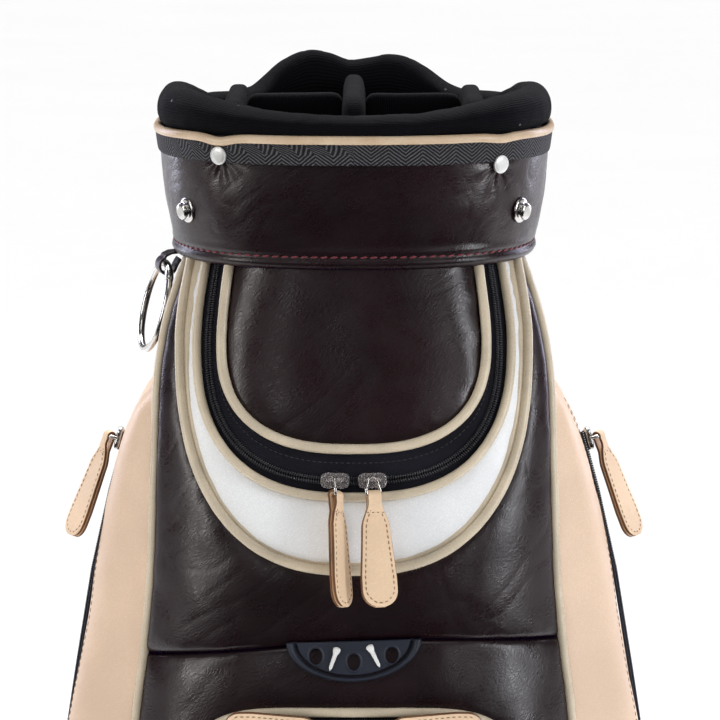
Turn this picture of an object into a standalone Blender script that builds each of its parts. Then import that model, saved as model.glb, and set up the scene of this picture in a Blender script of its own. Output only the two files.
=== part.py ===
"""Golf staff bag: padded cuff with club dividers, leather collar, two zipped front pockets,
two side pockets, tee holder, towel ring, base, carry handle and shoulder strap.

Frame: +Z up, the bag's front faces -Y, origin on the floor under the centre of the club tube.
All sizes below are in millimetres and are turned into metres when a mesh is made."""

import math

import bmesh
import bpy
from mathutils import Matrix, Vector

MM = 0.001

# ---- driving dimensions -------------------------------------------------------------------
TUBE_A, TUBE_B, TUBE_N = 98.0, 94.0, 2.4        # half width, half depth and squareness
TUBE_WALL = 2.5
TUBE_BOTTOM, TUBE_TOP = 11.0, 844.5
SKIN_A, SKIN_B = 103.0, 99.5                    # leather skin round the sides and back
CUFF_N = 2.5
COLLAR_BOTTOM, COLLAR_TOP = 780.0, 857.0
CUFF_FOOT = (114.0, 107.0)                      # half width and half depth at the collar's foot
CUFF_HEAD = (124.0, 111.0)                      # and at its head
WEBBING_BOTTOM = 844.5
PIPING_Z = 861.0
PAD_BOTTOM, PAD_WIDTH = 864.2, 22.5
SEAM_Z = 560.0                                  # seam between the upper and the lower pocket
POCKET_FOOT = 97.0
LEATHER = 2.4
RAIL_X, RAIL_WIDTH, RAIL_FOOT = 75.0, 13.0, 847.0
ROUND = 40                                      # steps round the cuff

# height: front centre depth, depth at the side piping, half width at the side piping
FRONT_DEPTH = [(95, 140), (108, 156), (130, 166), (200, 176), (300, 181), (400, 180), (470, 176),
               (520, 166), (560, 157), (602, 152), (656, 140), (700, 127), (740, 114), (780, 102),
               (795, 100.5)]
EDGE_DEPTH = [(95, 96), (130, 114), (300, 125), (470, 122), (520, 116), (560, 110), (600, 104),
              (656, 93), (700, 80), (740, 62), (780, 40), (795, 37)]
HALF_WIDTH = [(95, 132), (130, 137), (300, 141), (400, 140.5), (500, 136.4), (548, 130.5),
              (589, 126.8), (639, 125), (700, 123.6), (718, 122), (745, 117), (768, 110),
              (780, 105.5), (795, 102.5)]
SIDE_REACH = [(95, 168), (150, 186), (300, 192), (400, 189), (474, 182), (522, 173), (553, 167.5),
              (583, 163), (618, 155.5), (638, 150), (661, 144), (685, 138), (705, 134)]
FRONT_POWER = 3.2


# ---- small helpers ------------------------------------------------------------------------
def smooth(z, knots):
    """A smooth curve through (height, value) pairs, read at height z."""
    z = min(max(z, knots[0][0]), knots[-1][0])
    i = max(k for k in range(len(knots) - 1) if knots[k][0] <= z)
    (z0, v0), (z1, v1) = knots[i], knots[i + 1]
    before = knots[max(i - 1, 0)]
    after = knots[min(i + 2, len(knots) - 1)]
    slope0 = (v1 - before[1]) / (z1 - before[0])
    slope1 = (after[1] - v0) / (after[0] - z0)
    span = z1 - z0
    t = (z - z0) / span
    return (v0 * (1 + 2 * t) * (1 - t) ** 2 + slope0 * span * t * (1 - t) ** 2
            + v1 * t * t * (3 - 2 * t) + slope1 * span * t * t * (t - 1))


def superellipse(a, b, n, angle):
    c, s = math.cos(angle), math.sin(angle)
    return (math.copysign(abs(c) ** (2 / n) * a, c), math.copysign(abs(s) ** (2 / n) * b, s))


def resample(points, count):
    """The same line as count points, evenly spaced along it."""
    points = [Vector(p) for p in points]
    along = [0.0]
    for a, b in zip(points, points[1:]):
        along.append(along[-1] + (b - a).length)
    made, k = [], 0
    for i in range(count):
        want = along[-1] * i / (count - 1)
        while k < len(points) - 2 and along[k + 1] < want:
            k += 1
        share = (want - along[k]) / max(along[k + 1] - along[k], 1e-9)
        made.append(points[k].lerp(points[k + 1], min(share, 1.0)))
    return made


def rounded(corners, radius, steps=6):
    """A polyline whose inner corners are turned into curves that start radius before them."""
    made = [Vector(corners[0])]
    for before, corner, after in zip(corners, corners[1:], corners[2:]):
        before, corner, after = Vector(before), Vector(corner), Vector(after)
        back = min(radius, (before - corner).length * 0.48)
        ahead = min(radius, (after - corner).length * 0.48)
        start = corner + (before - corner).normalized() * back
        end = corner + (after - corner).normalized() * ahead
        for i in range(steps + 1):
            t = i / steps
            made.append(start * (1 - t) ** 2 + corner * 2 * t * (1 - t) + end * t * t)
    made.append(Vector(corners[-1]))
    return made


def lerp2(a, b, t):
    return a[0] + (b[0] - a[0]) * t, a[1] + (b[1] - a[1]) * t


# ---- scene, collections, materials --------------------------------------------------------
for old in list(bpy.data.objects):
    bpy.data.objects.remove(old)
BAG = bpy.data.collections.new("golf_bag")
CUTTERS = bpy.data.collections.new("cutters")
bpy.context.scene.collection.children.link(BAG)
bpy.context.scene.collection.children.link(CUTTERS)


def material(name, colour, roughness, metallic=0.0):
    made = bpy.data.materials.new(name)
    made.use_nodes = True
    shader = made.node_tree.nodes["Principled BSDF"]
    shader.inputs["Base Color"].default_value = (*colour, 1)
    shader.inputs["Roughness"].default_value = roughness
    shader.inputs["Metallic"].default_value = metallic
    made.diffuse_color = (*colour, 1)
    return made


BROWN = material("dark_brown_leather", (0.030, 0.014, 0.016), 0.35)
CREAM = material("white_leather", (0.86, 0.85, 0.82), 0.45)
BEIGE = material("beige_leather", (0.72, 0.50, 0.34), 0.5)
PIPING = material("piping_vinyl", (0.58, 0.46, 0.31), 0.4)
TAPE = material("black_woven", (0.012, 0.013, 0.018), 0.85)
KNIT = material("black_knit", (0.010, 0.011, 0.016), 0.95)
STEEL = material("polished_steel", (0.62, 0.60, 0.57), 0.18, 1.0)
CLEAR = material("clear_plastic", (0.55, 0.52, 0.52), 0.1)
RUBBER = material("black_rubber", (0.02, 0.022, 0.03), 0.6)
PLASTIC = material("black_plastic", (0.02, 0.02, 0.02), 0.5)


# ---- makers -------------------------------------------------------------------------------
def keep(obj, finish, smooth_angle=40):
    """Puts a finished object in the bag's collection with its material, shaded smooth."""
    for holder in list(obj.users_collection):
        holder.objects.unlink(obj)
    BAG.objects.link(obj)
    obj.data.materials.clear()
    obj.data.materials.append(finish)
    if obj.type == "MESH":
        obj.data.shade_smooth()
        obj.data.set_sharp_from_angle(angle=math.radians(smooth_angle))
    return obj


def mesh_object(name, bm):
    mesh = bpy.data.meshes.new(name)
    bm.to_mesh(mesh)
    bm.free()
    obj = bpy.data.objects.new(name, mesh)
    bpy.context.scene.collection.objects.link(obj)
    return obj


def grid(name, place, across, along, merge=False):
    """A grid primitive whose corners u, v from 0 to 1 are moved to place(u, v), in millimetres."""
    bm = bmesh.new()
    bmesh.ops.create_grid(bm, x_segments=across, y_segments=along, size=0.5)
    for vert in bm.verts:
        vert.co = Vector(place(vert.co.x + 0.5, vert.co.y + 0.5)) * MM
    if merge:
        bmesh.ops.remove_doubles(bm, verts=bm.verts, dist=0.00002)
        bmesh.ops.dissolve_degenerate(bm, edges=bm.edges, dist=0.00001)
    return mesh_object(name, bm)


def sheet(name, place, across, along, thickness, finish, merge=False):
    """A skin whose outer face is place(u, v) and whose thickness goes inwards."""
    obj = grid(name, place, across, along, merge)
    wall = obj.modifiers.new("wall", "SOLIDIFY")
    wall.thickness = thickness * MM
    wall.offset = -1
    wall.use_even_offset = True
    return keep(obj, finish)


def closed_skin(name, place, across, along, finish):
    """A closed surface: place(u, v) meets itself in u, and in v or at two poles."""
    obj = grid(name, place, across, along, merge=True)
    bm = bmesh.new()
    bm.from_mesh(obj.data)
    bmesh.ops.recalc_face_normals(bm, faces=bm.faces)
    bm.to_mesh(obj.data)
    bm.free()
    return keep(obj, finish)


def cord_curve(name, points, radius, cyclic=False, resolution=1):
    """A round bar along points in millimetres, as a curve object."""
    data = bpy.data.curves.new(name, "CURVE")
    data.dimensions = "3D"
    data.bevel_depth = radius * MM
    data.bevel_resolution = resolution
    data.use_fill_caps = True
    line = data.splines.new("POLY")
    line.points.add(len(points) - 1)
    for spot, p in zip(line.points, points):
        spot.co = (p[0] * MM, p[1] * MM, p[2] * MM, 1)
    line.use_cyclic_u = cyclic
    obj = bpy.data.objects.new(name, data)
    bpy.context.scene.collection.objects.link(obj)
    return obj


def piping(name, points, radius, cyclic=False, finish=PIPING):
    return keep(cord_curve(name, points, radius, cyclic, 0), finish)


def as_mesh(obj):
    """A mesh object in place of a curve object, its caps welded."""
    graph = bpy.context.evaluated_depsgraph_get()
    bpy.context.view_layer.update()
    mesh = bpy.data.meshes.new_from_object(obj.evaluated_get(graph))
    bm = bmesh.new()
    bm.from_mesh(mesh)
    bmesh.ops.remove_doubles(bm, verts=bm.verts, dist=0.00001)
    bmesh.ops.recalc_face_normals(bm, faces=bm.faces)
    bm.to_mesh(mesh)
    bm.free()
    name = obj.name
    made = bpy.data.objects.new(name, mesh)
    made.matrix_world = obj.matrix_world.copy()
    bpy.data.objects.remove(obj)
    made.name = name
    bpy.context.scene.collection.objects.link(made)
    return made


def outline(name, loops, half_depth):
    """Flat outlines (the first one solid, the others holes) with a thickness, as a mesh."""
    data = bpy.data.curves.new(name, "CURVE")
    data.dimensions = "2D"
    data.fill_mode = "BOTH"
    data.extrude = half_depth * MM
    for loop in loops:
        line = data.splines.new("POLY")
        line.points.add(len(loop) - 1)
        for spot, p in zip(line.points, loop):
            spot.co = (p[0] * MM, p[1] * MM, 0, 1)
        line.use_cyclic_u = True
    obj = bpy.data.objects.new(name, data)
    bpy.context.scene.collection.objects.link(obj)
    return as_mesh(obj)


def box(name, low, high, finish=None, bevel=0.0, segments=2):
    bm = bmesh.new()
    bmesh.ops.create_cube(bm, size=1)
    for vert in bm.verts:
        for axis in range(3):
            share = vert.co[axis] + 0.5
            vert.co[axis] = (low[axis] + (high[axis] - low[axis]) * share) * MM
    obj = mesh_object(name, bm)
    if bevel:
        edge = obj.modifiers.new("edge", "BEVEL")
        edge.width = bevel * MM
        edge.segments = segments
    return keep(obj, finish) if finish else obj


def cutter(obj):
    for holder in list(obj.users_collection):
        holder.objects.unlink(obj)
    CUTTERS.objects.link(obj)
    obj.hide_render = True
    obj.display_type = "WIRE"
    return obj


def boolean(obj, other, operation):
    step = obj.modifiers.new(operation.lower(), "BOOLEAN")
    step.operation = operation
    step.object = cutter(other)


def cylinder(name, radius, depth, segments, matrix):
    bm = bmesh.new()
    bmesh.ops.create_cone(bm, cap_ends=True, segments=segments, radius1=radius * MM,
                          radius2=radius * MM, depth=depth * MM)
    obj = mesh_object(name, bm)
    obj.matrix_world = matrix
    return obj


def pivot(name, spot, pieces):
    """An empty on a joint's axis that carries the pieces of the moving body."""
    empty = bpy.data.objects.new(name, None)
    empty.location = Vector(spot) * MM
    empty.empty_display_size = 0.01
    BAG.objects.link(empty)
    bpy.context.view_layer.update()
    for piece in pieces:
        piece.parent = empty
        piece.matrix_parent_inverse = empty.matrix_world.inverted()
    return empty


def carry(parent, children):
    """Parents pivots to the pivot that they move with."""
    bpy.context.view_layer.update()
    for child in children:
        child.parent = parent
        child.matrix_parent_inverse = parent.matrix_world.inverted()


def circle_centre(a, b, c):
    """The centre of the circle through three points in space."""
    a, b, c = Vector(a), Vector(b), Vector(c)
    ab, ac = b - a, c - a
    normal = ab.cross(ac)
    step = (normal.cross(ab) * ac.length_squared + ac.cross(normal) * ab.length_squared)
    return a + step / (2 * normal.length_squared)


def frame_at(origin, right, out):
    """A matrix whose local X is right, local Y is out and local Z is right x out."""
    x = Vector(right).normalized()
    y = Vector(out)
    y = (y - x * y.dot(x)).normalized()
    z = x.cross(y)
    turn = Matrix((x, y, z)).transposed().to_4x4()
    return Matrix.Translation(Vector(origin) * MM) @ turn


# ---- the front surface --------------------------------------------------------------------
def front_y(x, z):
    """The leather front's outer face: nearly flat in the middle, rounded at the side piping."""
    middle, edge = smooth(z, FRONT_DEPTH), smooth(z, EDGE_DEPTH)
    share = min(abs(x) / smooth(z, HALF_WIDTH), 1.0)
    return -(edge + (middle - edge) * (1 - share ** FRONT_POWER))


def front_normal(x, z):
    step = 1.0
    across = Vector((2 * step, front_y(x + step, z) - front_y(x - step, z), 0))
    up = Vector((0, front_y(x, z + step) - front_y(x, z - step), 2 * step))
    return across.cross(up).normalized()


def on_front(x, z, lift=0.0):
    return Vector((x, front_y(x, z), z)) + front_normal(x, z) * lift


# ---- the U shapes of the upper pocket -----------------------------------------------------
ARC_Z = 735.0                                   # the U's legs are straight above this height


def leg_share(z):
    """The U's legs draw in a little towards the collar."""
    return 1 - 0.062 * max(0.0, (z - ARC_Z) / 45.0) ** 1.5


def u_line(half, foot, power, top, count, shift=0.0):
    """A U of that half width and lowest height as count (x, z) points, top left to top right."""
    half, drop = half + shift, ARC_Z - foot + shift
    right = [(half * leg_share(z), z) for z in (top - (top - ARC_Z) * i / 12 for i in range(13))]
    for i in range(1, 61):
        angle = math.pi / 2 * i / 60
        right.append((half * math.cos(angle) ** (2 / power) if i < 60 else 0.0,
                      ARC_Z - drop * math.sin(angle) ** (2 / power)))
    left = [(-x, z) for x, z in right]
    return resample(left + right[-2::-1], count)


FLAP_HINGE = (0.0, -104.5, 777.0)
FLAP_U = (80.0, 674.0, 2.6)
TEETH_U = (89.0, 655.5, 2.7)
INNER_U = (95.5, 646.0, 2.6)
OUTER_U = (106.0, 602.5, 2.5)


def ribbon(name, inner, outer, across, thickness, finish, lift=0.0, merge=False):
    """A skin on the front surface between two lines of (x, z) points."""
    count = len(inner) - 1

    def place(u, v):
        i = min(round(v * count), count)
        x, z = lerp2(inner[i], outer[i], u)
        return on_front(x, z, lift)

    obj = sheet(name, place, across, count, thickness, finish, merge)
    return obj


def side_edge(low, high, steps):
    """The front leather's right edge as steps + 1 (x, z) points, upwards."""
    heights = [low + (high - low) * i / steps for i in range(steps + 1)]
    return [Vector((smooth(z, HALF_WIDTH) - 5.0, z)) for z in heights]


def border_line(steps):
    """The upper front panel's edge: down the left side, along the seam, up the right side."""
    right = side_edge(SEAM_Z + 0.8, 790.0, steps // 3)
    left = [Vector((-p.x, p.y)) for p in right[::-1]]
    return left + resample([left[-1], right[0]], steps // 3 + 1)[1:-1] + right


def make_upper_pocket():
    steps = 37
    top = 790.0
    flap_edge = u_line(*FLAP_U, 776.0, steps, -0.8)
    teeth_in = u_line(*TEETH_U, 776.0, steps, -0.6)
    flap_out = u_line(*FLAP_U, 776.0, steps, 0.8)

    def flap_place(u, v):
        """Rows run down from the flap's top edge and end in a point at the bottom of the U."""
        half = steps // 2
        i = min(round(v * half), half)
        x, z = flap_edge[i]
        return on_front(-x * (2 * u - 1), z, 0.0)

    flap = sheet("upper_flap", lambda u, v: flap_place(u, 1 - v), 8, steps // 2, LEATHER, BROWN, True)
    flap_tape = ribbon("flap_zip_tape", flap_out, teeth_in, 1, 1.4, TAPE, -0.6)
    teeth_out = u_line(*TEETH_U, top, steps, 0.6)
    ribbon("body_zip_tape", teeth_out, u_line(*INNER_U, top, steps, -0.6), 1, 1.4, TAPE, -0.6)
    ribbon("white_crescent", u_line(*INNER_U, top, steps, 0.6), u_line(*OUTER_U, top, steps, -0.6), 2,
           LEATHER, CREAM)
    ribbon("front_panel", u_line(*OUTER_U, top, steps, 0.6), border_line(steps - 1), 2, LEATHER, BROWN)
    for name, shape, radius, start in (("flap_piping", FLAP_U, 3.0, 771.5),
                                       ("crescent_piping_inner", INNER_U, 2.7, 775.0),
                                       ("crescent_piping_outer", OUTER_U, 2.9, 774.5)):
        line = u_line(*shape, start, 31)
        cord = piping(name, [on_front(x, z, radius + 0.5) for x, z in line], radius)
        if name == "flap_piping":
            pieces = [flap, flap_tape, cord]
    return pivot("upper_flap_pivot", FLAP_HINGE, pieces)


# ---- the lower pocket ---------------------------------------------------------------------
DOOR_Z, DOOR_A, DOOR_B, DOOR_N = 316.0, 112.0, 202.0, 5.0
DOOR_HINGE = (0.0, -161.0, 119.0)


def door_line(shrink, count):
    """A tall rounded rectangle as count (x, z) points, the last one the same as the first."""
    made = []
    for i in range(241):
        angle = math.tau * i / 240 - math.pi / 2
        x, z = superellipse(DOOR_A - shrink, DOOR_B - shrink, DOOR_N, angle)
        made.append((x, z + DOOR_Z))
    return resample(made, count)


def lower_border(steps):
    """The lower panel's edge, from the foot's middle to the right, up, left and back."""
    right = side_edge(POCKET_FOOT, SEAM_Z - 0.8, 3 * steps // 10)
    left = [Vector((-p.x, p.y)) for p in right[::-1]]
    foot = resample([left[-1], right[0]], steps // 5 + 1)
    head = resample([right[-1], left[0]], steps // 5 + 1)
    middle = len(foot) // 2
    return foot[middle:-1] + right + head[1:-1] + left + foot[1:middle + 1]


TEE_HALF, TEE_TOP, TEE_DROP = 41.0, 560.5, 24.5


def tee_shape(half, top, drop):
    """A half oval, flat side up, as (x, z) points."""
    turns = [math.pi * (1 + i / 18) for i in range(19)]
    return [(half * math.cos(a), top + drop * math.sin(a)) for a in turns]


def make_lower_pocket():
    steps = 41
    panel_inner = door_line(-0.6, steps)
    panel = ribbon("lower_panel", panel_inner, lower_border(steps - 1), 2, LEATHER, BROWN, merge=True)
    window = outline("tee_window", [tee_shape(TEE_HALF - 5, TEE_TOP - 4.5, TEE_DROP - 8)], 20)
    window.matrix_world = Matrix.Translation((0, -0.157, 0)) @ Matrix.Rotation(math.pi / 2, 4, "X")
    boolean(panel, window, "DIFFERENCE")
    tape = ribbon("lower_zip_tape", door_line(9.4, steps), door_line(3.4, steps), 1, 1.4, TAPE, -0.6, merge=True)
    door_edge = door_line(11.0, 33)

    def door_place(u, v):
        """Rows run across the door; both ends are flat rows at its foot and its head."""
        half = 16
        i = min(round(v * half), half)
        x, z = door_edge[i]
        return on_front(x * (2 * u - 1), z, 0.0)

    door = sheet("lower_door", door_place, 6, 16, LEATHER, BROWN, merge=True)
    line = door_line(0.0, 41)[:-1]
    piping("lower_piping", [on_front(x, z, 3.3) for x, z in line], 2.8, cyclic=True)
    return pivot("lower_door_pivot", DOOR_HINGE, [door, tape])


def make_tee_holder():
    lower = tee_shape(TEE_HALF, TEE_TOP, TEE_DROP)

    def place(u, v):
        x, z = lower[min(round(u * 18), 18)]
        return on_front(x, z + (TEE_TOP - z) * v, 4.8)

    plate = sheet("tee_holder", place, 18, 1, 4.2, RUBBER, merge=True)
    for x, z in ((-23.0, 550.5), (0.0, 547.0), (23.0, 550.5)):
        hole = cylinder("tee_hole", 5.6, 40, 14,
                        Matrix.Translation((x * MM, -0.158, z * MM)) @ Matrix.Rotation(math.pi / 2, 4, "X"))
        boolean(plate, hole, "DIFFERENCE")


def shelf(name, z):
    """A flat plate that closes the space between the club tube and the front, at height z."""
    half = TUBE_A - 4.0

    def place(u, v):
        x = -half + 2 * half * u
        back = -(TUBE_B + 3.0) * (1 - (abs(x) / (TUBE_A + 3.0)) ** TUBE_N) ** (1 / TUBE_N)
        front = front_y(x, z) + 8.0
        return x, front + (back - front) * v, z

    return sheet(name, place, 12, 1, 1.6, TAPE)


# ---- sides and back -----------------------------------------------------------------------
def half_skin(z, count, swell=0.0):
    """The body skin's right half at height z, from the side piping to the middle of the back."""
    edge, width = smooth(z, EDGE_DEPTH), smooth(z, HALF_WIDTH)
    start = (width - 4.2, -edge + 3.5)
    line = [start]
    for i in range(31):
        angle = math.radians(-6 + 96 * i / 30)
        line.append(superellipse(SKIN_A + swell, SKIN_B + swell, TUBE_N, angle))
    line[1:1] = [lerp2(start, line[1], share) for share in (0.35, 0.7)]
    line[-1] = (0.0, line[-1][1])
    return resample(line, count)


def make_body_skin():
    half = 12
    rows = {}

    def place(u, v):
        z = 92.0 + (786.0 - 92.0) * v
        if z not in rows:
            right = half_skin(z, half + 1)
            rows[z] = right + [Vector((-p.x, p.y)) for p in right[-2::-1]]
        p = rows[z][min(round(u * 2 * half), 2 * half)]
        return p.x, p.y, z

    sheet("body_skin", place, 2 * half, 9, 2.0, BROWN)


POCKET_TOP, POCKET_BOTTOM = 702.0, 104.0
POCKET_STEPS, POCKET_ROWS = 11, 13


def pocket_swell(z):
    """How far the side pocket stands out, from 0 at its tips to 1."""
    top = min(max((POCKET_TOP - z) / 44.0, 0.0), 1.0)
    foot = min(max((z - POCKET_BOTTOM) / 36.0, 0.0), 1.0)
    return math.sqrt(1 - (1 - top) ** 2) ** 0.9 * math.sqrt(1 - (1 - foot) ** 2)


def pocket_row(z):
    """The right side pocket's outer line at height z, front edge to rear edge."""
    edge, width, reach = smooth(z, EDGE_DEPTH), smooth(z, HALF_WIDTH), smooth(z, SIDE_REACH)
    start, end = (width + 0.5, -edge + 4.0), (88.0, 74.0)
    full = rounded([start, (reach, -edge + 4.0 + 0.85 * (reach - width)), (reach + 1.0, 46.0),
                    (120.0, 88.0), end], 20.0)
    full = resample(full, POCKET_STEPS + 1)
    flat = [start, (SKIN_A + 6.0, -22.0)]
    for i in range(13):
        angle = math.radians(-2 + 48 * i / 12)
        flat.append(superellipse(SKIN_A + 5.0, SKIN_B + 5.0, TUBE_N, angle))
    flat = resample(flat + [end], POCKET_STEPS + 1)
    swell = pocket_swell(z)
    return [a.lerp(b, swell) for a, b in zip(flat, full)]


def pocket_heights():
    """Row heights, close together at both tips."""
    made = []
    for i in range(POCKET_ROWS + 1):
        share = i / POCKET_ROWS
        made.append(POCKET_BOTTOM + (POCKET_TOP - POCKET_BOTTOM) * (share - math.sin(math.tau * share) / 9))
    return made


HEIGHTS = pocket_heights()
POCKET = [pocket_row(z) for z in HEIGHTS]


def pocket_point(step, row):
    p = POCKET[row][step]
    return Vector((p.x, p.y, HEIGHTS[row]))


def pocket_normal(step, row):
    across = pocket_point(step + 1, row) - pocket_point(step - 1, row)
    up = pocket_point(step, min(row + 1, POCKET_ROWS)) - pocket_point(step, max(row - 1, 0))
    return across.cross(up).normalized()


ZIP_STEP, ZIP_LOW, ZIP_HIGH = 3, 2, 11


def zip_point(share, lift):
    """A point on the side pocket's zip line, share 0 at its foot and 1 at its head."""
    row = ZIP_LOW + (ZIP_HIGH - ZIP_LOW) * share
    low = min(int(row), ZIP_HIGH - 1)
    a = pocket_point(ZIP_STEP, low) + pocket_normal(ZIP_STEP, low) * lift
    b = pocket_point(ZIP_STEP, low + 1) + pocket_normal(ZIP_STEP, low + 1) * lift
    return a.lerp(b, row - low)


def make_sides(side):
    """side is 1 for +X, named right, and -1 for -X, named left."""
    name = "right" if side > 0 else "left"

    def flip(p):
        return Vector((side * p[0], p[1], p[2]))

    def place(u, v):
        u = u if side > 0 else 1 - u
        return flip(pocket_point(min(round(u * POCKET_STEPS), POCKET_STEPS), round(v * POCKET_ROWS)))

    sheet("side_pocket_" + name, place, POCKET_STEPS, POCKET_ROWS, LEATHER, BEIGE)

    def tape(u, v):
        u = u if side > 0 else 1 - u
        step, row = ZIP_STEP - 1 + round(u * 2), ZIP_LOW + round(v * (ZIP_HIGH - ZIP_LOW))
        middle = pocket_point(ZIP_STEP, row)
        p = pocket_point(step, row)
        p = middle + (p - middle).normalized() * 10.0 if step != ZIP_STEP else middle
        return flip(p + pocket_normal(ZIP_STEP, row) * 2.0)

    sheet("side_zip_tape_" + name, tape, 2, ZIP_HIGH - ZIP_LOW, 1.2, TAPE)
    line = []
    for i in range(25):
        z = 776.0 + (100.0 - 776.0) * i / 24
        line.append((side * (smooth(z, HALF_WIDTH) - 1.6), -smooth(z, EDGE_DEPTH) - 2.0, z))
    piping("side_piping_" + name, line, 2.6)


# ---- cuff ---------------------------------------------------------------------------------
def cuff_point(angle, z, shift=0.0):
    share = (z - COLLAR_BOTTOM) / (COLLAR_TOP - COLLAR_BOTTOM)
    a, b = lerp2(CUFF_FOOT, CUFF_HEAD, share)
    x, y = superellipse(a + shift, b + shift, CUFF_N, angle)
    return Vector((x, y, z))


def pad_crest(angle):
    """Height of the padded rim: low in front, high at the sides, two humps at the back."""
    p = cuff_point(angle, PAD_BOTTOM)
    front = max(0.0, -p.y / 111.0)
    back = max(0.0, p.y / 111.0)
    height = 886.0 - 9.5 * front ** 5 - 13.0 * min(1.0, 1.6 * back) ** 2
    hump = 24.0 * math.exp(-((abs(p.x) - 30.0) / 24.0) ** 2) + 6.0 * math.exp(-(p.x / 40.0) ** 2)
    return height + hump * back ** 4


def make_cuff():
    def turn(u):
        return math.tau * u - math.pi / 2

    def collar(u, v):
        return cuff_point(turn(u), COLLAR_BOTTOM + (COLLAR_TOP - COLLAR_BOTTOM) * v)

    def webbing(u, v):
        return cuff_point(turn(u), WEBBING_BOTTOM + (COLLAR_TOP + 0.4 - WEBBING_BOTTOM) * v, 2.4)

    sheet("collar_band", collar, ROUND, 1, 3.0, BROWN, merge=True)
    sheet("webbing_band", webbing, ROUND, 1, 1.6, TAPE, merge=True)
    ring = [cuff_point(turn(i / ROUND), PIPING_Z, -1.4) for i in range(ROUND)]
    piping("rim_piping", ring, 2.6, cyclic=True)

    def pad(u, v):
        angle, around = turn(u), math.tau * v
        crest = pad_crest(angle)
        base = cuff_point(angle, COLLAR_TOP, -PAD_WIDTH / 2 - 0.3 + PAD_WIDTH / 2 * math.cos(around))
        middle, rise = (PAD_BOTTOM + crest) / 2, (crest - PAD_BOTTOM) / 2
        return base.x, base.y, middle + rise * math.sin(around)

    closed_skin("rim_pad", pad, ROUND, 8, KNIT)
    corners = [(-4.6, 846.0), (-4.6, 861.0), (-23.6, 861.0), (-23.6, 846.0), (-4.6, 846.0)]

    def frame(u, v):
        shift, z = corners[min(round(v * 4), 4)]
        p = cuff_point(turn(u), COLLAR_TOP, shift)
        return p.x, p.y, z

    closed_skin("top_frame", frame, ROUND, 4, PLASTIC)


def pad_inside(x):
    """How far back the space inside the padded rim reaches at x."""
    a, b = CUFF_HEAD[0] - PAD_WIDTH - 0.8, CUFF_HEAD[1] - PAD_WIDTH - 0.8
    return b * (1 - (abs(x) / a) ** CUFF_N) ** (1 / CUFF_N)


def make_dividers():
    half = RAIL_WIDTH / 2
    for name, x, top in (("left", -RAIL_X, 879.0), ("centre", 0.0, 884.0), ("right", RAIL_X, 879.0)):
        reach = pad_inside(abs(x) + half) - 1.0
        box("rail_" + name, (x - half, -reach, RAIL_FOOT), (x + half, reach, top), KNIT, 4.5, 1)
        wall = (TUBE_B - TUBE_WALL) * (1 - ((abs(x) + 1) / (TUBE_A - TUBE_WALL)) ** TUBE_N) ** (1 / TUBE_N)
        box("divider_wall_" + name, (x - 0.8, -wall + 1.5, 14.0), (x + 0.8, wall - 1.5, TUBE_TOP), TAPE)
    for name, side in (("left", -1), ("right", 1)):
        near, far = side * (half + 0.5), side * (RAIL_X - half - 0.5)
        box("cross_rail_" + name, (min(near, far), -half, RAIL_FOOT), (max(near, far), half, 878.0), KNIT, 4.5, 1)


def make_tube_and_base():
    def tube(u, v):
        x, y = superellipse(TUBE_A, TUBE_B, TUBE_N, math.tau * u - math.pi / 2)
        return x, y, TUBE_BOTTOM + (TUBE_TOP - TUBE_BOTTOM) * v

    sheet("club_tube", tube, 32, 1, TUBE_WALL, PLASTIC, merge=True)
    # half width of the tray, less the tube's own half width, and height, from the underside's
    # middle out, up and back in to the floor's middle
    profile = [(None, 0.0), (14.0, 0.0), (18.0, 3.0), (18.0, 14.0), (13.0, 30.0), (8.0, 60.0),
               (7.0, 84.0), (5.0, 86.0), (1.5, 86.0), (1.5, 9.0), (None, 9.0)]

    def tray(u, v):
        grow, z = profile[min(round(v * 10), 10)]
        if grow is None:
            return 0.0, 0.0, z
        x, y = superellipse(TUBE_A + grow, TUBE_B + grow, TUBE_N, math.tau * u - math.pi / 2)
        return x, y, z

    closed_skin("base_tray", tray, 32, 10, RUBBER)


# ---- hardware -----------------------------------------------------------------------------
def stud_profile():
    """Radius and height of a snap stud, from its head down, so that the turned shape faces out."""
    return [(0.0, 7.0), (4.6, 7.0), (5.4, 6.2), (5.4, 5.0), (4.2, 4.0), (4.2, 3.0), (8.0, 2.4),
            (8.0, 1.4), (0.0, 1.4)]


def make_stud(name, angle):
    """A snap stud standing square on the collar, 1.4 mm of it left free under its flange."""
    z = 812.0
    spot = cuff_point(angle, z)
    ahead, up = cuff_point(angle + 0.02, z) - cuff_point(angle - 0.02, z), Vector((0, 0, 1))
    leaning = cuff_point(angle, z + 5) - cuff_point(angle, z - 5)
    out = ahead.cross(leaning).normalized()
    data = bpy.data.meshes.new(name)
    points = stud_profile()
    data.from_pydata([(r * MM, 0, h * MM) for r, h in points], [(i, i + 1) for i in range(len(points) - 1)], [])
    obj = bpy.data.objects.new(name, data)
    bpy.context.scene.collection.objects.link(obj)
    obj.matrix_world = Matrix.Translation(spot * MM) @ out.to_track_quat("Z", "Y").to_matrix().to_4x4()
    turn = obj.modifiers.new("turn", "SCREW")
    turn.steps = turn.render_steps = 12
    turn.use_merge_vertices = True
    turn.merge_threshold = 0.00005
    keep(obj, STEEL)
    return obj


RING_R, RING_WIRE = 28.0, 2.5
RING_PIVOT = Vector((-119.5, -24.0, 771.0))
RING_YAW, RING_LEAN = math.radians(15), math.radians(15)
TAB_BACK, TAB_HEAD = 8.6, 8.2


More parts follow.
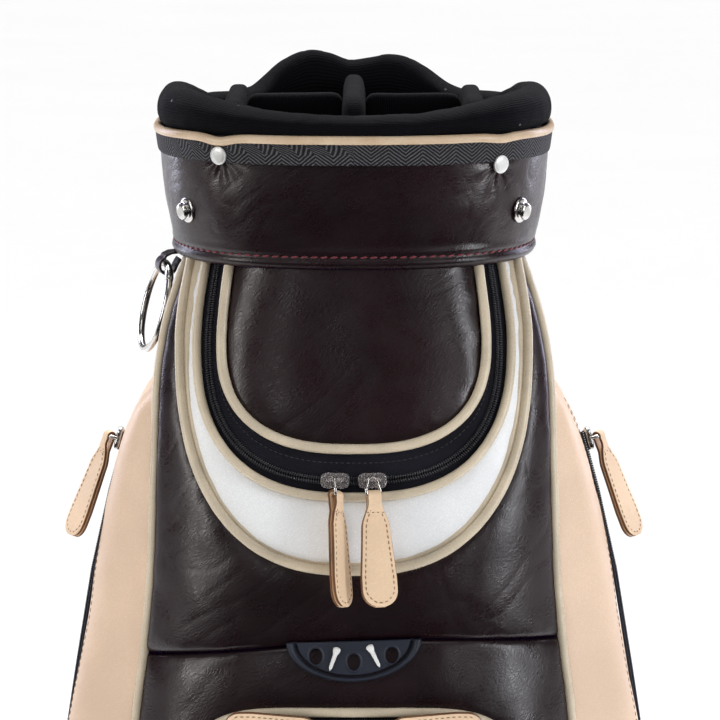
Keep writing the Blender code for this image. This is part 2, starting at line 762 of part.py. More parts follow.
def make_towel_ring():
    """The ring hangs in a leather loop under the collar and leans on the bag's side."""
    axis = Vector((-math.sin(RING_YAW), math.cos(RING_YAW), 0))
    down = Matrix.Rotation(RING_LEAN, 3, axis) @ Vector((0, 0, -1))
    middle = RING_PIVOT + down * (RING_R - 1.2)
    points = []
    for i in range(24):
        a = math.tau * i / 24
        points.append(middle + axis * (RING_R * math.sin(a)) - down * (RING_R * math.cos(a)))
    ring = keep(cord_curve("towel_ring", points, RING_WIRE, True), STEEL)
    pivot("towel_ring_pivot", RING_PIVOT, [ring])
    # side view of the loop: a ring of leather whose flat back goes up to the collar's lower edge
    hook = [(TAB_BACK, TAB_HEAD), (2.0, TAB_HEAD), (-3.6, 5.2)]
    for i in range(11):
        a = math.radians(160 + 200 * i / 10)
        hook.append((6.3 * math.cos(a) + 0.6, 6.3 * math.sin(a)))
    hook.append((TAB_BACK, 3.0))
    inner = []
    for i in range(12):
        a = math.tau * i / 12
        inner.append((4.3 * math.cos(a) + 0.6, 4.3 * math.sin(a)))
    tab = outline("ring_tab", [hook, inner], 6.5)
    out = Vector((-math.cos(RING_YAW), -math.sin(RING_YAW), 0))
    turn = Matrix((-out, Vector((0, 0, 1)), -axis)).transposed().to_4x4()
    tab.matrix_world = Matrix.Translation(RING_PIVOT * MM) @ turn
    keep(tab, BROWN)


def make_slider(name, matrix, bar_height, finish, long_side):
    """A zip slider: a block on the teeth and a staple over it. Local X is the staple's bar,
    local Y points out of the bag."""
    half_x, half_z = (8.5, 4.8) if long_side == "x" else (4.9, 7.5)
    block = box(name, (-half_x, 0.9, -half_z), (half_x, 5.6, half_z), None, 1.2, 1)
    staple = cord_curve(name + "_staple", [(-4.6, 4.0, 0), (-4.6, bar_height - 0.9, 0),
                                           (-3.7, bar_height, 0), (3.7, bar_height, 0),
                                           (4.6, bar_height - 0.9, 0), (4.6, 4.0, 0)], 1.0, resolution=0)
    staple = as_mesh(staple)
    block.matrix_world = matrix
    staple.matrix_world = matrix
    boolean(block, staple, "UNION")
    return keep(block, finish)


def pull_width(z, neck, broad, length):
    """The leather pull's width at depth z below its eye."""
    grow = min(max((z - 4.0) / 16.0, 0.0), 1.0)
    width = neck + (broad * 0.78 - neck) * grow * grow * (3 - 2 * grow)
    width += broad * 0.22 * min(max((z - 20.0) / 30.0, 0.0), 1.0)
    end = max(0.0, z - (length - 11.0)) / 11.0
    return width * math.sqrt(max(0.0, 1 - min(end, 0.97) ** 2.4))


def make_pull(name, matrix, neck, broad=22.0, length=68.0):
    """A folded leather pull. Its eye is at the local origin with its hole along local X;
    it hangs along local -Z and is 4.6 mm thick along local Y."""
    eye, hole, half = 3.4, 1.9, 2.3
    edge = [(eye * math.sin(a), eye * math.cos(a)) for a in (math.radians(-120 + 240 * i / 6) for i in range(7))]
    stations = [6, 10, 15, 22, 50, length - 11, length - 6, length - 2.5, length - 0.5]
    right = [(half, -float(s)) for s in stations]
    left = [(-half, -float(s)) for s in reversed(stations)]
    eyelet = [(hole * math.sin(math.tau * i / 8), hole * math.cos(math.tau * i / 8)) for i in range(8)]
    pull = outline(name, [edge + right + left, eyelet], 1.0)
    for vert in pull.data.vertices:
        across, down = vert.co.z * 1000, -vert.co.y * 1000
        width = pull_width(down, neck, broad, length)
        # the 2D outline lies in XY: its X is the pull's thickness and its Y is up
        vert.co = Vector((math.copysign(width / 2, across), vert.co.x * 1000, vert.co.y * 1000)) * MM
    bm = bmesh.new()
    bm.from_mesh(pull.data)
    bmesh.ops.triangulate(bm, faces=bm.faces)
    bmesh.ops.recalc_face_normals(bm, faces=bm.faces)
    bm.to_mesh(pull.data)
    bm.free()
    pull.matrix_world = matrix
    return keep(pull, BEIGE)


def make_link(name, matrix):
    """The D-shaped wire between an upper slider's bar (at the local origin) and its pull."""
    points = [(-5.9, -8.6), (-5.9, -6.5)]
    for i in range(9):
        a = math.radians(180 - 180 * i / 8)
        points.append((5.9 * math.cos(a) * 0.62, -4.2 + 4.0 * math.sin(a) + 2.1))
    points += [(5.9, -6.5), (5.9, -8.6), (5.0, -9.6), (-5.0, -9.6)]
    link = cord_curve(name, [(x, 0, z) for x, z in points], 0.9, True, 0)
    link.matrix_world = matrix
    return keep(link, STEEL)


UPPER_ZIP_X, UPPER_BAR = 11.0, 12.5
UPPER_TRACK = (UPPER_ZIP_X, 34.0, 57.0)          # distances from the middle that fix its circle
PULL_TILT = math.radians(22)
LINK_DROP = 9.6


def make_upper_zip(flap):
    """Two sliders that meet at the bottom of the U, each with a wire link and a leather pull.
    Each slider travels on the circle through three points of its side of the U."""
    line = u_line(*TEETH_U, 776.0, 400)
    for name, side, yaw in (("left", -1, 90), ("right", 1, 42)):
        x, z = min(line, key=lambda p: abs(p[0] - side * UPPER_ZIP_X))
        spot, out = on_front(x, z), front_normal(x, z)
        along = (on_front(x + 4, line_height(line, x + 4)) - on_front(x - 4, line_height(line, x - 4)))
        slider = make_slider("upper_slider_" + name, frame_at(spot, along, out), UPPER_BAR, CLEAR, "x")
        track = [on_front(side * reach, line_height(line, side * reach)) for reach in UPPER_TRACK]
        travel = pivot("upper_slider_%s_pivot" % name, circle_centre(*track), [slider])
        bar = spot + out * UPPER_BAR
        tilt = Matrix.Rotation(-PULL_TILT, 4, "X")
        turn = Matrix.Rotation(math.radians(yaw), 4, "Z")
        hang = Matrix.Translation(bar * MM) @ tilt @ turn
        link = make_link("upper_link_" + name, hang)
        pull = make_pull("upper_pull_" + name, hang @ Matrix.Translation((0, 0, -LINK_DROP * MM)), 8.4)
        carry(travel, [pivot("upper_pull_%s_pivot" % name, bar, [link, pull])])
        carry(flap, [travel])


def line_height(line, x):
    return min(line, key=lambda p: abs(p[0] - x) + (1000 if p[1] > ARC_Z else 0))[1]


def bar_spot(matrix, height):
    """The middle of a slider's bar, in millimetres."""
    return (matrix @ Vector((0, height * MM, 0))) / MM


LOWER_ZIP_X, LOWER_BAR = 11.0, 9.5


def make_lower_zip(door):
    """Two sliders that meet at the top of the lower pocket; their pulls lie along the zip."""
    z = DOOR_Z + DOOR_B - 9.4
    for name, side in (("left", -1), ("right", 1)):
        spot, out = on_front(side * LOWER_ZIP_X, z), front_normal(side * LOWER_ZIP_X, z)
        # the bar stands upright, so local X is up or down and local Z points to the middle
        up = Vector((0, 0, -side))
        matrix = frame_at(spot, up, out)
        slider = make_slider("lower_slider_" + name, matrix, LOWER_BAR, STEEL, "z")
        pull = make_pull("lower_pull_" + name, matrix @ Matrix.Translation((0, LOWER_BAR * MM, 0)), 6.0, 25.0)
        travel = pivot("lower_slider_%s_pivot" % name, spot, [slider])
        carry(travel, [pivot("lower_pull_%s_pivot" % name, bar_spot(matrix, LOWER_BAR), [pull])])
        carry(door, [travel])


SIDE_BAR = 9.5
SIDE_SLIDER_SHARE = 0.985


def make_side_zip(side):
    """A slider at the head of the side zip, its pull hanging free of the pocket."""
    name = "right" if side > 0 else "left"
    spot, above = zip_point(SIDE_SLIDER_SHARE, 2.0), zip_point(1.0, 2.0)
    below = zip_point(SIDE_SLIDER_SHARE - 0.2, 2.0)
    along = (above - below).normalized()
    out = pocket_normal(ZIP_STEP, ZIP_HIGH - 1)
    out = (out - along * out.dot(along)).normalized()
    across = out.cross(along)
    spot, along, out, across = (Vector((side * v.x, v.y, v.z)) for v in (spot, along, out, across))
    right = out.cross(along)
    matrix = frame_at(spot, right, out)
    slider = make_slider("side_slider_" + name, matrix, SIDE_BAR, STEEL, "z")
    hang = matrix @ Matrix.Translation((0, SIDE_BAR * MM, 0)) @ Matrix.Rotation(math.radians(7), 4, "X")
    pull = make_pull("side_pull_" + name, hang, 6.0)
    travel = pivot("side_slider_%s_pivot" % name, spot, [slider])
    carry(travel, [pivot("side_pull_%s_pivot" % name, bar_spot(matrix, SIDE_BAR), [pull])])


# ---- back ---------------------------------------------------------------------------------
def back_y(x):
    return SKIN_B * (1 - (abs(x) / SKIN_A) ** TUBE_N) ** (1 / TUBE_N)


HANDLE_X, HANDLE_TOP, HANDLE_FOOT = 14.0, 735.0, 565.0
STRAP_X = 42.0
STRAP_TOP, STRAP_FOOT = 742.0, 300.0
STRAP_BAR = 10.5                                # how far the loops' bars stand off the skin


def make_strap():
    """A padded strap between two metal loops, bowed away from the back."""
    y0 = back_y(STRAP_X) + STRAP_BAR
    middle = []
    steps = 16
    for i in range(steps + 1):
        t = i / steps
        middle.append(Vector((y0 + 44.0 * math.sin(math.pi * t) ** 1.4, STRAP_TOP + (STRAP_FOOT - STRAP_TOP) * t)))
    half = 3.2
    side_a, side_b = [], []
    for i in range(1, steps):
        tangent = (middle[i + 1] - middle[i - 1]).normalized()
        normal = Vector((-tangent.y, tangent.x))
        thick = half + 2.2 * math.exp(-((i - steps / 2) / (steps / 4)) ** 4)
        side_a.append(middle[i] + normal * thick)
        side_b.append(middle[i] - normal * thick)

    def cap(centre, start):
        return [centre + Vector((4.6 * math.cos(a), 4.6 * math.sin(a)))
                for a in (math.radians(start + 180 * i / 8) for i in range(9))]

    def eye(centre):
        return [centre + Vector((2.4 * math.cos(a), 2.4 * math.sin(a)))
                for a in (math.tau * i / 12 for i in range(12))]

    loop = cap(middle[0], 0) + side_b + cap(middle[-1], 180) + side_a[::-1]
    strap = outline("shoulder_strap", [loop, eye(middle[0]), eye(middle[-1])], 19.0)
    # the outline's X is the bag's Y and its Y is the bag's Z
    turn = Matrix(((0, 0, 1, 0), (1, 0, 0, 0), (0, 1, 0, 0), (0, 0, 0, 1)))
    strap.matrix_world = Matrix.Translation((STRAP_X * MM, 0, 0)) @ turn
    keep(strap, BROWN)
    foot_gap = 2.6
    for name, z in (("upper", STRAP_TOP), ("lower", STRAP_FOOT)):
        left, right = STRAP_X - 22.0, STRAP_X + 22.0
        points = [(left, back_y(left) + foot_gap, z), (left, y0 - 2, z), (left + 2, y0, z),
                  (right - 2, y0, z), (right, y0 - 2, z), (right, back_y(right) + foot_gap, z)]
        keep(cord_curve("strap_loop_" + name, points, 1.8), STEEL)


def make_handle():
    """A round carry handle, its two ends standing on the back skin."""
    x, near, far = -HANDLE_X, back_y(HANDLE_X) + 0.7, back_y(HANDLE_X) + 40.0
    corners = [(x, near, HANDLE_TOP), (x, far, HANDLE_TOP), (x, far, HANDLE_FOOT), (x, near, HANDLE_FOOT)]
    keep(cord_curve("carry_handle", rounded(corners, 34.0, 4), 9.0), BROWN)


make_tube_and_base()
make_cuff()
make_dividers()
FLAP = make_upper_pocket()
DOOR = make_lower_pocket()
make_tee_holder()
shelf("pocket_shelf", SEAM_Z - 3.0)
shelf("pocket_floor", POCKET_FOOT + 6.0)
make_body_skin()
for SIDE in (-1, 1):
    make_sides(SIDE)
    make_side_zip(SIDE)
for STUD, TURN in (("left", 214), ("right", 326)):
    make_stud("snap_stud_" + STUD, math.radians(TURN))
make_towel_ring()
make_upper_zip(FLAP)
make_lower_zip(DOOR)
make_strap()
make_handle()
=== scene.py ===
# Golf staff bag: the leather, knit, webbing, zips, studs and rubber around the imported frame.
# Shapes are worked out in millimetres as whole arrays, with +Z up and the front facing -Y, and are
# turned into metres when a mesh is made.
import math

import bmesh
import bpy
import numpy as np
from mathutils import Matrix, Vector


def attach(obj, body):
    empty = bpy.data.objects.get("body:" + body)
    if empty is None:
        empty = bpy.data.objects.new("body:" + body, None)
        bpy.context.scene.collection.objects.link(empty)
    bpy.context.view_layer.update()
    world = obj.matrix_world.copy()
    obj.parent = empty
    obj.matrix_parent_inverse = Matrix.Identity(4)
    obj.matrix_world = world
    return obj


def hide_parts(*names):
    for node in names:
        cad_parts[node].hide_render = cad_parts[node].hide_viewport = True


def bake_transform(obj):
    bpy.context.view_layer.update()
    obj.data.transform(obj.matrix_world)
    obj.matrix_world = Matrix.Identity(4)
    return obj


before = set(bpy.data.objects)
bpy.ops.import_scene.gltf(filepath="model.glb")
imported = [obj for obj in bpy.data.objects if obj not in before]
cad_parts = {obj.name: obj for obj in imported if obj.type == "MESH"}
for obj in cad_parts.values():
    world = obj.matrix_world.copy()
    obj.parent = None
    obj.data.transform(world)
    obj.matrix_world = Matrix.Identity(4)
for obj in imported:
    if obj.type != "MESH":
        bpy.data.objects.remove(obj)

bl_info = {
    "name": "Golf staff bag looks",
    "version": (1, 0, 0),
    "blender": (4, 5, 0),
    "location": "3D Viewport > Sidebar > Golf bag",
    "description": "Builds the leather, cloth and metal parts of a golf staff bag",
    "category": "Add Mesh",
}

MM = 0.001
TAU = math.tau

# ---- lines and sizes shared with the frame, in millimetres ---------------------------------
FRONT_DEPTH = [(95, 140), (108, 156), (130, 166), (200, 176), (300, 181), (400, 180), (470, 176),
               (520, 166), (560, 157), (602, 152), (656, 140), (700, 127), (740, 114), (780, 102),
               (795, 100.5)]
EDGE_DEPTH = [(95, 96), (130, 114), (300, 125), (470, 122), (520, 116), (560, 110), (600, 104),
              (656, 93), (700, 80), (740, 62), (780, 40), (795, 37)]
HALF_WIDTH = [(95, 132), (130, 137), (300, 141), (400, 140.5), (500, 136.4), (548, 130.5), (589, 126.8),
              (639, 125), (700, 123.6), (718, 122), (745, 117), (768, 110), (780, 105.5), (795, 102.5)]
SIDE_REACH = [(95, 168), (150, 186), (300, 192), (400, 189), (474, 182), (522, 173), (553, 167.5),
              (583, 163), (618, 155.5), (638, 150), (661, 144), (685, 138), (705, 134)]
FLAP_U, TEETH_U = (80.0, 674.0, 2.6), (89.0, 655.5, 2.7)
INNER_U, OUTER_U = (95.5, 646.0, 2.6), (106.0, 602.5, 2.5)
SEAM_Z, ARC_Z, POCKET_FOOT = 560.0, 735.0, 97.0
RIVETS = ((233.4, 848.6), (312.1, 842.6))       # angle in degrees and height of the cuff's rivets
BACK_HALF, BACK_DEPTH, BACK_POWER = 103.0, 99.5, 2.4        # superellipse of the leather back
COIL_PITCH, COIL_SHIFT = 1.5, 1.3               # teeth along a zip, and each row's place beside its line


# ---- curves, noise and surfaces ------------------------------------------------------------
def smooth(z, knots):
    """A smooth curve through (height, value) pairs: cubic pieces whose slopes are those of the
    chords across each knot."""
    k = np.asarray(knots, float)
    z = np.clip(np.asarray(z, float), k[0, 0], k[-1, 0])
    i = np.clip(np.searchsorted(k[:, 0], z, side="right") - 1, 0, len(k) - 2)
    before, after = k[np.maximum(i - 1, 0)], k[np.minimum(i + 2, len(k) - 1)]
    low, high = k[i], k[i + 1]
    slope0 = (high[..., 1] - before[..., 1]) / (high[..., 0] - before[..., 0])
    slope1 = (after[..., 1] - low[..., 1]) / (after[..., 0] - low[..., 0])
    span = high[..., 0] - low[..., 0]
    t = (z - low[..., 0]) / span
    return (low[..., 1] * (1 + 2 * t) * (1 - t) ** 2 + slope0 * span * t * (1 - t) ** 2
            + high[..., 1] * t * t * (3 - 2 * t) + slope1 * span * t * t * (t - 1))


def step(low, high, x):
    """0 below low, 1 above high, turning smoothly between them."""
    t = np.clip((np.asarray(x, float) - low) / (high - low), 0, 1)
    return t * t * (3 - 2 * t)


def superellipse(a, b, n, angle):
    """Points (a, b) times the signed powers 2 / n of cos and sin: an ellipse for n = 2, squarer above."""
    c, s = np.cos(angle), np.sin(angle)
    return np.stack([np.sign(c) * np.abs(c) ** (2 / n) * a, np.sign(s) * np.abs(s) ** (2 / n) * b], -1)


def unit(v):
    """Each vector divided by its length."""
    return v / np.maximum(np.linalg.norm(v, axis=-1, keepdims=True), 1e-9)


def resample(points, count, closed=False):
    """The same line as count points, evenly spaced along it."""
    points = np.asarray(points, float)
    if closed:
        points = np.vstack([points, points[:1]])
    along = np.concatenate([[0], np.cumsum(np.linalg.norm(np.diff(points, axis=0), axis=1))])
    want = np.linspace(0, along[-1], count + 1)[:-1] if closed else np.linspace(0, along[-1], count)
    return np.stack([np.interp(want, along, points[:, k]) for k in range(points.shape[1])], -1)


def noise(p, size, seed=0):
    """Smooth random values from -1 to 1 at points p: random corners of a grid of cubes of that
    size, blended with the smoothstep of the place in the cube."""
    q = np.asarray(p, float) / size + seed * 17.3
    cell = np.floor(q).astype(np.int64)
    f = q - cell
    f = f * f * (3 - 2 * f)
    total = 0.0
    for dx in (0, 1):
        for dy in (0, 1):
            for dz in (0, 1):
                corner = cell + [dx, dy, dz]
                n = corner[..., 0] * 73856093 ^ corner[..., 1] * 19349663 ^ corner[..., 2] * 83492791
                n = (n ^ (n >> 13)) * 1274126177 & 0x7FFFFFFF
                value = ((n ^ (n >> 16)) & 0xFFFF) / 32767.5 - 1
                weight = (np.where(dx, f[..., 0], 1 - f[..., 0]) * np.where(dy, f[..., 1], 1 - f[..., 1])
                          * np.where(dz, f[..., 2], 1 - f[..., 2]))
                total = total + value * weight
    return total


def creases(p, size, seed=0, turn=35.0, stretch=3.5):
    """Depth of soft diagonal creases at points p, from 0 to 1: sharp valleys where a noise drawn
    out along a slanting direction crosses zero."""
    a = math.radians(turn)
    along = p[..., 0] * math.cos(a) + p[..., 2] * math.sin(a)
    across = -p[..., 0] * math.sin(a) + p[..., 2] * math.cos(a)
    q = np.stack([along / stretch, across, p[..., 1] / 2], -1)
    wander = noise(p, size * 4, seed + 3) * size * 0.8
    return np.exp(-np.abs(noise(q + wander[..., None], size, seed)) * 5.0)


def front_y(x, z):
    """The leather front's outer face: nearly flat in the middle, rounded at the side piping."""
    middle, edge = smooth(z, FRONT_DEPTH), smooth(z, EDGE_DEPTH)
    share = np.minimum(np.abs(x) / smooth(z, HALF_WIDTH), 1.0)
    return -(edge + (middle - edge) * (1 - share ** 3.2))


def front_normal(x, z):
    """The front's outward normal, from the slopes of its depth across and up."""
    dx = (front_y(x + 1, z) - front_y(x - 1, z)) / 2
    dz = (front_y(x, z + 1) - front_y(x, z - 1)) / 2
    return unit(np.stack([dx, -np.ones_like(dx), dz], -1))


def on_front(xz, lift=0.0):
    """Points on the leather front, each moved out along the surface's normal by lift."""
    x, z = np.asarray(xz, float)[..., 0], np.asarray(xz, float)[..., 1]
    lift = np.asarray(lift, float)
    return np.stack([x, front_y(x, z), z], -1) + front_normal(x, z) * (lift[..., None] if lift.ndim else lift)


def u_line(half, foot, power, top, count, shift=0.0):
    """A U as count (x, z) points, top left to top right: legs that draw in towards the collar,
    and half a superellipse below them."""
    half, drop = half + shift, ARC_Z - foot + shift
    z = np.linspace(top, ARC_Z, 13)
    legs = np.stack([half * (1 - 0.062 * np.maximum(0, (z - ARC_Z) / 45.0) ** 1.5), z], -1)
    a = np.pi / 2 * np.arange(1, 121) / 120
    arc = np.stack([half * np.abs(np.cos(a)) ** (2 / power), ARC_Z - drop * np.sin(a) ** (2 / power)], -1)
    arc[-1, 0] = 0
    right = np.vstack([legs, arc])
    return resample(np.vstack([right * [-1, 1], right[-2::-1]]), count)


def door_line(shrink, count):
    """The lower pocket's zip line, shrunk, as a closed ring of (x, z) points from its foot."""
    a = TAU * np.arange(721) / 720 - np.pi / 2
    return resample(superellipse(112 - shrink, 202 - shrink, 5.0, a) + [0, 316.0], count)


def cuff(angle, z, shift=0.0):
    """Points round the cuff: a superellipse that grows from the collar's foot to its head."""
    share = (np.asarray(z, float) - 780.0) / 77.0
    a, b = 114.0 + 10.0 * share + shift, 107.0 + 4.0 * share + shift
    c, s = np.cos(angle), np.sin(angle)
    x, y = np.sign(c) * np.abs(c) ** 0.8 * a, np.sign(s) * np.abs(s) ** 0.8 * b
    return np.stack(np.broadcast_arrays(x, y, np.asarray(z, float)), -1)


def grid_normals(p, wrap_v=False, wrap_u=False):
    """Normals of a grid of points, rows first: the cross product of the steps along each way."""
    def along(axis, wrap):
        """The step from one point to the next along one way of the grid."""
        if wrap:
            return np.roll(p, -1, axis) - np.roll(p, 1, axis)
        return np.gradient(p, axis=axis)
    return unit(np.cross(along(1, wrap_u), along(0, wrap_v)))


class Looks:
    """The finished materials by name, filled in before any piece is made."""
    of = {}


def make_mesh(name, verts, faces, finish, uv=None, out=None):
    """A mesh object from arrays: verts in millimetres, faces as rows of corner numbers. Faces are
    turned to face out: away from the point or line out, or by the sign of the enclosed volume."""
    verts, faces = np.asarray(verts, float), np.asarray(faces)
    a, b, c = verts[faces[:, 0]], verts[faces[:, 1]], verts[faces[:, 2]]
    normal = np.cross(b - a, c - a)
    if out is None:
        middle = verts.mean(0)
        facing = np.einsum("ij,ij->i", a - middle, normal)
        if faces.shape[1] == 4:
            d = verts[faces[:, 3]]
            facing = facing + np.einsum("ij,ij->i", a - middle, np.cross(c - a, d - a))
    else:
        facing = np.einsum("ij,ij->i", (a + c) / 2 * [1, 1, 0 if len(out) == 2 else 1]
                           - (np.array([*out, 0]) if len(out) == 2 else np.array(out)), normal)
    if facing.sum() < 0:
        faces = faces[:, ::-1]
        uv = None if uv is None else uv[:, ::-1]
    mesh = bpy.data.meshes.new(name)
    mesh.vertices.add(len(verts))
    mesh.vertices.foreach_set("co", (verts * MM).astype(np.float32).ravel())
    sides = faces.shape[1]
    mesh.loops.add(faces.size)
    mesh.loops.foreach_set("vertex_index", faces.astype(np.int32).ravel())
    mesh.polygons.add(len(faces))
    mesh.polygons.foreach_set("loop_start", np.arange(0, faces.size, sides, dtype=np.int32))
    if uv is not None:
        layer = mesh.uv_layers.new(name="uv")
        layer.data.foreach_set("uv", (uv * MM).astype(np.float32).ravel())
    mesh.update(calc_edges=True)
    mesh.validate()
    mesh.polygons.foreach_set("use_smooth", np.full(len(mesh.polygons), True))
    obj = bpy.data.objects.new(name, mesh)
    bpy.context.scene.collection.objects.link(obj)
    mesh.materials.append(Looks.of[finish])
    return obj


def surface(name, p, finish, wrap_u=False, wrap_v=False, out=None, ends=False):
    """A grid of points as a mesh. wrap_u joins each row's end to its start, wrap_v the last row to
    the first, and ends closes the first and last rows, which are small rings, with a point."""
    rows, cols = p.shape[:2]
    index = np.arange(rows * cols).reshape(rows, cols)
    j = np.arange(cols if wrap_u else cols - 1)
    i = np.arange(rows if wrap_v else rows - 1)
    i, j = np.meshgrid(i, j, indexing="ij")
    i2, j2 = (i + 1) % rows, (j + 1) % cols
    faces = np.stack([index[i, j], index[i, j2], index[i2, j2], index[i2, j]], -1).reshape(-1, 4)
    pu = np.concatenate([p, p[:, :1]], 1)
    pv = np.concatenate([p, p[:1]], 0)
    u = np.concatenate([np.zeros((rows, 1)), np.cumsum(np.linalg.norm(np.diff(pu, axis=1), axis=-1), 1)], 1)
    u = np.vstack([u, u[:1]])
    mean = np.concatenate([[0], np.cumsum(np.linalg.norm(np.diff(pv, axis=0), axis=-1).mean(1))])
    uv = np.stack([np.stack([u[i, j], mean[i]], -1), np.stack([u[i, j + 1], mean[i]], -1),
                   np.stack([u[i + 1 if wrap_v else i2, j + 1], mean[i + 1]], -1),
                   np.stack([u[i + 1 if wrap_v else i2, j], mean[i + 1]], -1)], 2).reshape(-1, 4, 2)
    verts = p.reshape(-1, 3)
    if ends:
        n = len(verts)
        verts = np.vstack([verts, p[0].mean(0), p[-1].mean(0)])
        k = np.arange(cols)
        k2 = (k + 1) % cols
        first = np.stack([index[0, k2], index[0, k], np.full(cols, n), np.full(cols, n)], -1)
        last = np.stack([index[-1, k], index[-1, k2], np.full(cols, n + 1), np.full(cols, n + 1)], -1)
        return capped(name, verts, faces, uv, first[:, :3], last[:, :3], finish, out)
    return make_mesh(name, verts, faces, finish, uv, out)


def capped(name, verts, quads, uv, first, last, finish, out):
    """A tube of quads whose two ends are fans of triangles."""
    tris = np.concatenate([quads[:, [0, 1, 2]], quads[:, [0, 2, 3]], first, last])
    tuv = np.concatenate([uv[:, [0, 1, 2]], uv[:, [0, 2, 3]], np.zeros((len(first) + len(last), 3, 2))])
    return make_mesh(name, verts, tris, finish, tuv, out)


def thicken(obj, thickness):
    """A wall that goes inwards from the surface, in millimetres."""
    wall = obj.modifiers.new("wall", "SOLIDIFY")
    wall.thickness = thickness * MM
    wall.offset = -1
    return obj


def closed_pole(obj):
    """Joins the corners that meet in one point, where the rows of a grid shrink to nothing."""
    mesh = bmesh.new()
    mesh.from_mesh(obj.data)
    bmesh.ops.remove_doubles(mesh, verts=mesh.verts, dist=1e-6)
    mesh.to_mesh(obj.data)
    mesh.free()
    return obj


def path_frames(path, closed, out=None):
    """Side and out directions along a path: out given, or carried along with the least turning."""
    if closed:
        along = unit(np.roll(path, -1, 0) - np.roll(path, 1, 0))
    else:
        along = unit(np.gradient(path, axis=0))
    if out is None:
        spare = np.array([0, 0, 1.0]) if abs(along[0][2]) < 0.9 else np.array([1.0, 0, 0])
        out = np.zeros_like(path)
        last = np.cross(np.cross(along[0], spare), along[0])
        for i, t in enumerate(along):
            last = last - t * last.dot(t)
            last = last / np.linalg.norm(last)
            out[i] = last
    out = unit(out - along * np.sum(out * along, -1, keepdims=True))
    return unit(np.cross(along, out)), out


def sweep(name, path, profile, finish, closed=False, out=None, scale=None):
    """A closed outline carried along a path. profile holds (side, out) offsets in millimetres; its
    ends are closed with fans where the path is open."""
    side, up = path_frames(path, closed, out)
    shape = np.asarray(profile, float)[None]
    if scale is not None:
        shape = shape * np.asarray(scale, float)[:, None, None]
    p = path[:, None] + side[:, None] * shape[..., :1] + up[:, None] * shape[..., 1:]
    return surface(name, p, finish, wrap_u=True, wrap_v=closed, ends=not closed)


def ring(radius, sides=12, power=2.0, flat=1.0):
    """A round or squarish cord section: a superellipse of that radius, flattened by flat."""
    a = TAU * np.arange(sides) / sides
    return superellipse(radius, radius * flat, power, a)


def repeat(name, shape, faces, spots, axes, finish):
    """Many copies of one small shape as one mesh: axes is a turn for each copy, its columns the
    copy's own x, y and z directions."""
    spots, axes = np.asarray(spots, float), np.asarray(axes, float)
    verts = spots[:, None] + np.einsum("nij,kj->nki", axes, np.asarray(shape, float))
    faces = np.asarray(faces)
    first = (np.arange(len(spots)) * len(shape))[:, None, None]
    all_faces = (faces[None] + first).reshape(-1, faces.shape[1])
    a, b, c = (np.asarray(shape, float)[faces[:, k]] for k in range(3))
    if np.einsum("ij,ij->i", a, np.cross(b - a, c - a)).sum() < 0:
        all_faces = all_faces[:, ::-1]
    verts = verts.reshape(-1, 3)
    mesh = bpy.data.meshes.new(name)
    mesh.from_pydata((verts * MM).tolist(), [], all_faces.tolist())
    mesh.polygons.foreach_set("use_smooth", np.full(len(mesh.polygons), True))
    obj = bpy.data.objects.new(name, mesh)
    bpy.context.scene.collection.objects.link(obj)
    mesh.materials.append(Looks.of[finish])
    return obj


def capsule(length, radius, rings=5, sides=6, flat=0.7):
    """A small rounded bar along x: rings whose radius follows half an ellipse at each end."""
    t = np.linspace(-1, 1, rings)
    r = radius * np.sqrt(np.maximum(1 - np.abs(t) ** 3, 0.02))
    a = TAU * np.arange(sides) / sides
    p = np.stack([np.broadcast_to((t * length / 2)[:, None], (rings, sides)),
                  r[:, None] * np.cos(a), r[:, None] * np.sin(a) * flat], -1)
    index = np.arange(rings * sides).reshape(rings, sides)
    i, j = np.meshgrid(np.arange(rings - 1), np.arange(sides), indexing="ij")
    j2 = (j + 1) % sides
    quads = np.stack([index[i, j], index[i, j2], index[i + 1, j2], index[i + 1, j]], -1).reshape(-1, 4)
    tris = np.concatenate([quads[:, [0, 1, 2]], quads[:, [0, 2, 3]]])
    fans = [[index[0, 0], index[0, k + 1], index[0, k]] for k in range(1, sides - 1)]
    fans += [[index[-1, 0], index[-1, k], index[-1, k + 1]] for k in range(1, sides - 1)]
    return p.reshape(-1, 3), np.concatenate([tris, np.array(fans)])


def stitches(name, path, out, finish, pitch=4.4, length=3.0, radius=0.45, closed=False, slant=0.0):
    """Thread stitches along a path, each a small rounded bar lying on the surface."""
    path, out = np.asarray(path, float), np.broadcast_to(np.asarray(out, float), np.shape(path))
    total = np.linalg.norm(np.diff(path, axis=0), axis=1).sum()
    count = max(int(total / pitch), 2)
    both = resample(np.hstack([path, out]), count, closed)
    spots, up = both[:, :3], unit(both[:, 3:])
    along = unit(np.roll(spots, -1, 0) - np.roll(spots, 1, 0) if closed else np.gradient(spots, axis=0))
    across = unit(np.cross(up, along))
    if slant:
        along = unit(along + across * slant)
        across = unit(np.cross(up, along))
    shape, faces = capsule(length, radius)
    return repeat(name, shape, faces, spots, np.stack([along, across, up], -1), finish)


def teeth(name, path, out, finish, shift, turn=1.0):
    """One side of a coil zip: small slanting ovals at an even pitch, moved sideways by shift."""
    total = np.linalg.norm(np.diff(path, axis=0), axis=1).sum()
    both = resample(np.hstack([path, np.broadcast_to(out, path.shape)]), max(int(total / COIL_PITCH), 2))
    spots, up = both[:, :3], unit(both[:, 3:])
    along = unit(np.gradient(spots, axis=0))
    across = unit(np.cross(up, along))
    shape, faces = capsule(2.9, 0.62, 4, 6, 1.3)
    lean = unit(across + along * 0.18 * turn)
    return repeat(name, shape, faces, spots + across * shift + up * 0.5,
                  np.stack([lean, unit(np.cross(up, lean)), up], -1), finish)


def show(obj, body, slot, *nodes, fill=None):
    """Puts a piece on its body and hides the frame nodes that it stands for; slot, its material slot, is not
    used.
    """
    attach(obj, body)
    if nodes:
        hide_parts(*nodes)
    return obj


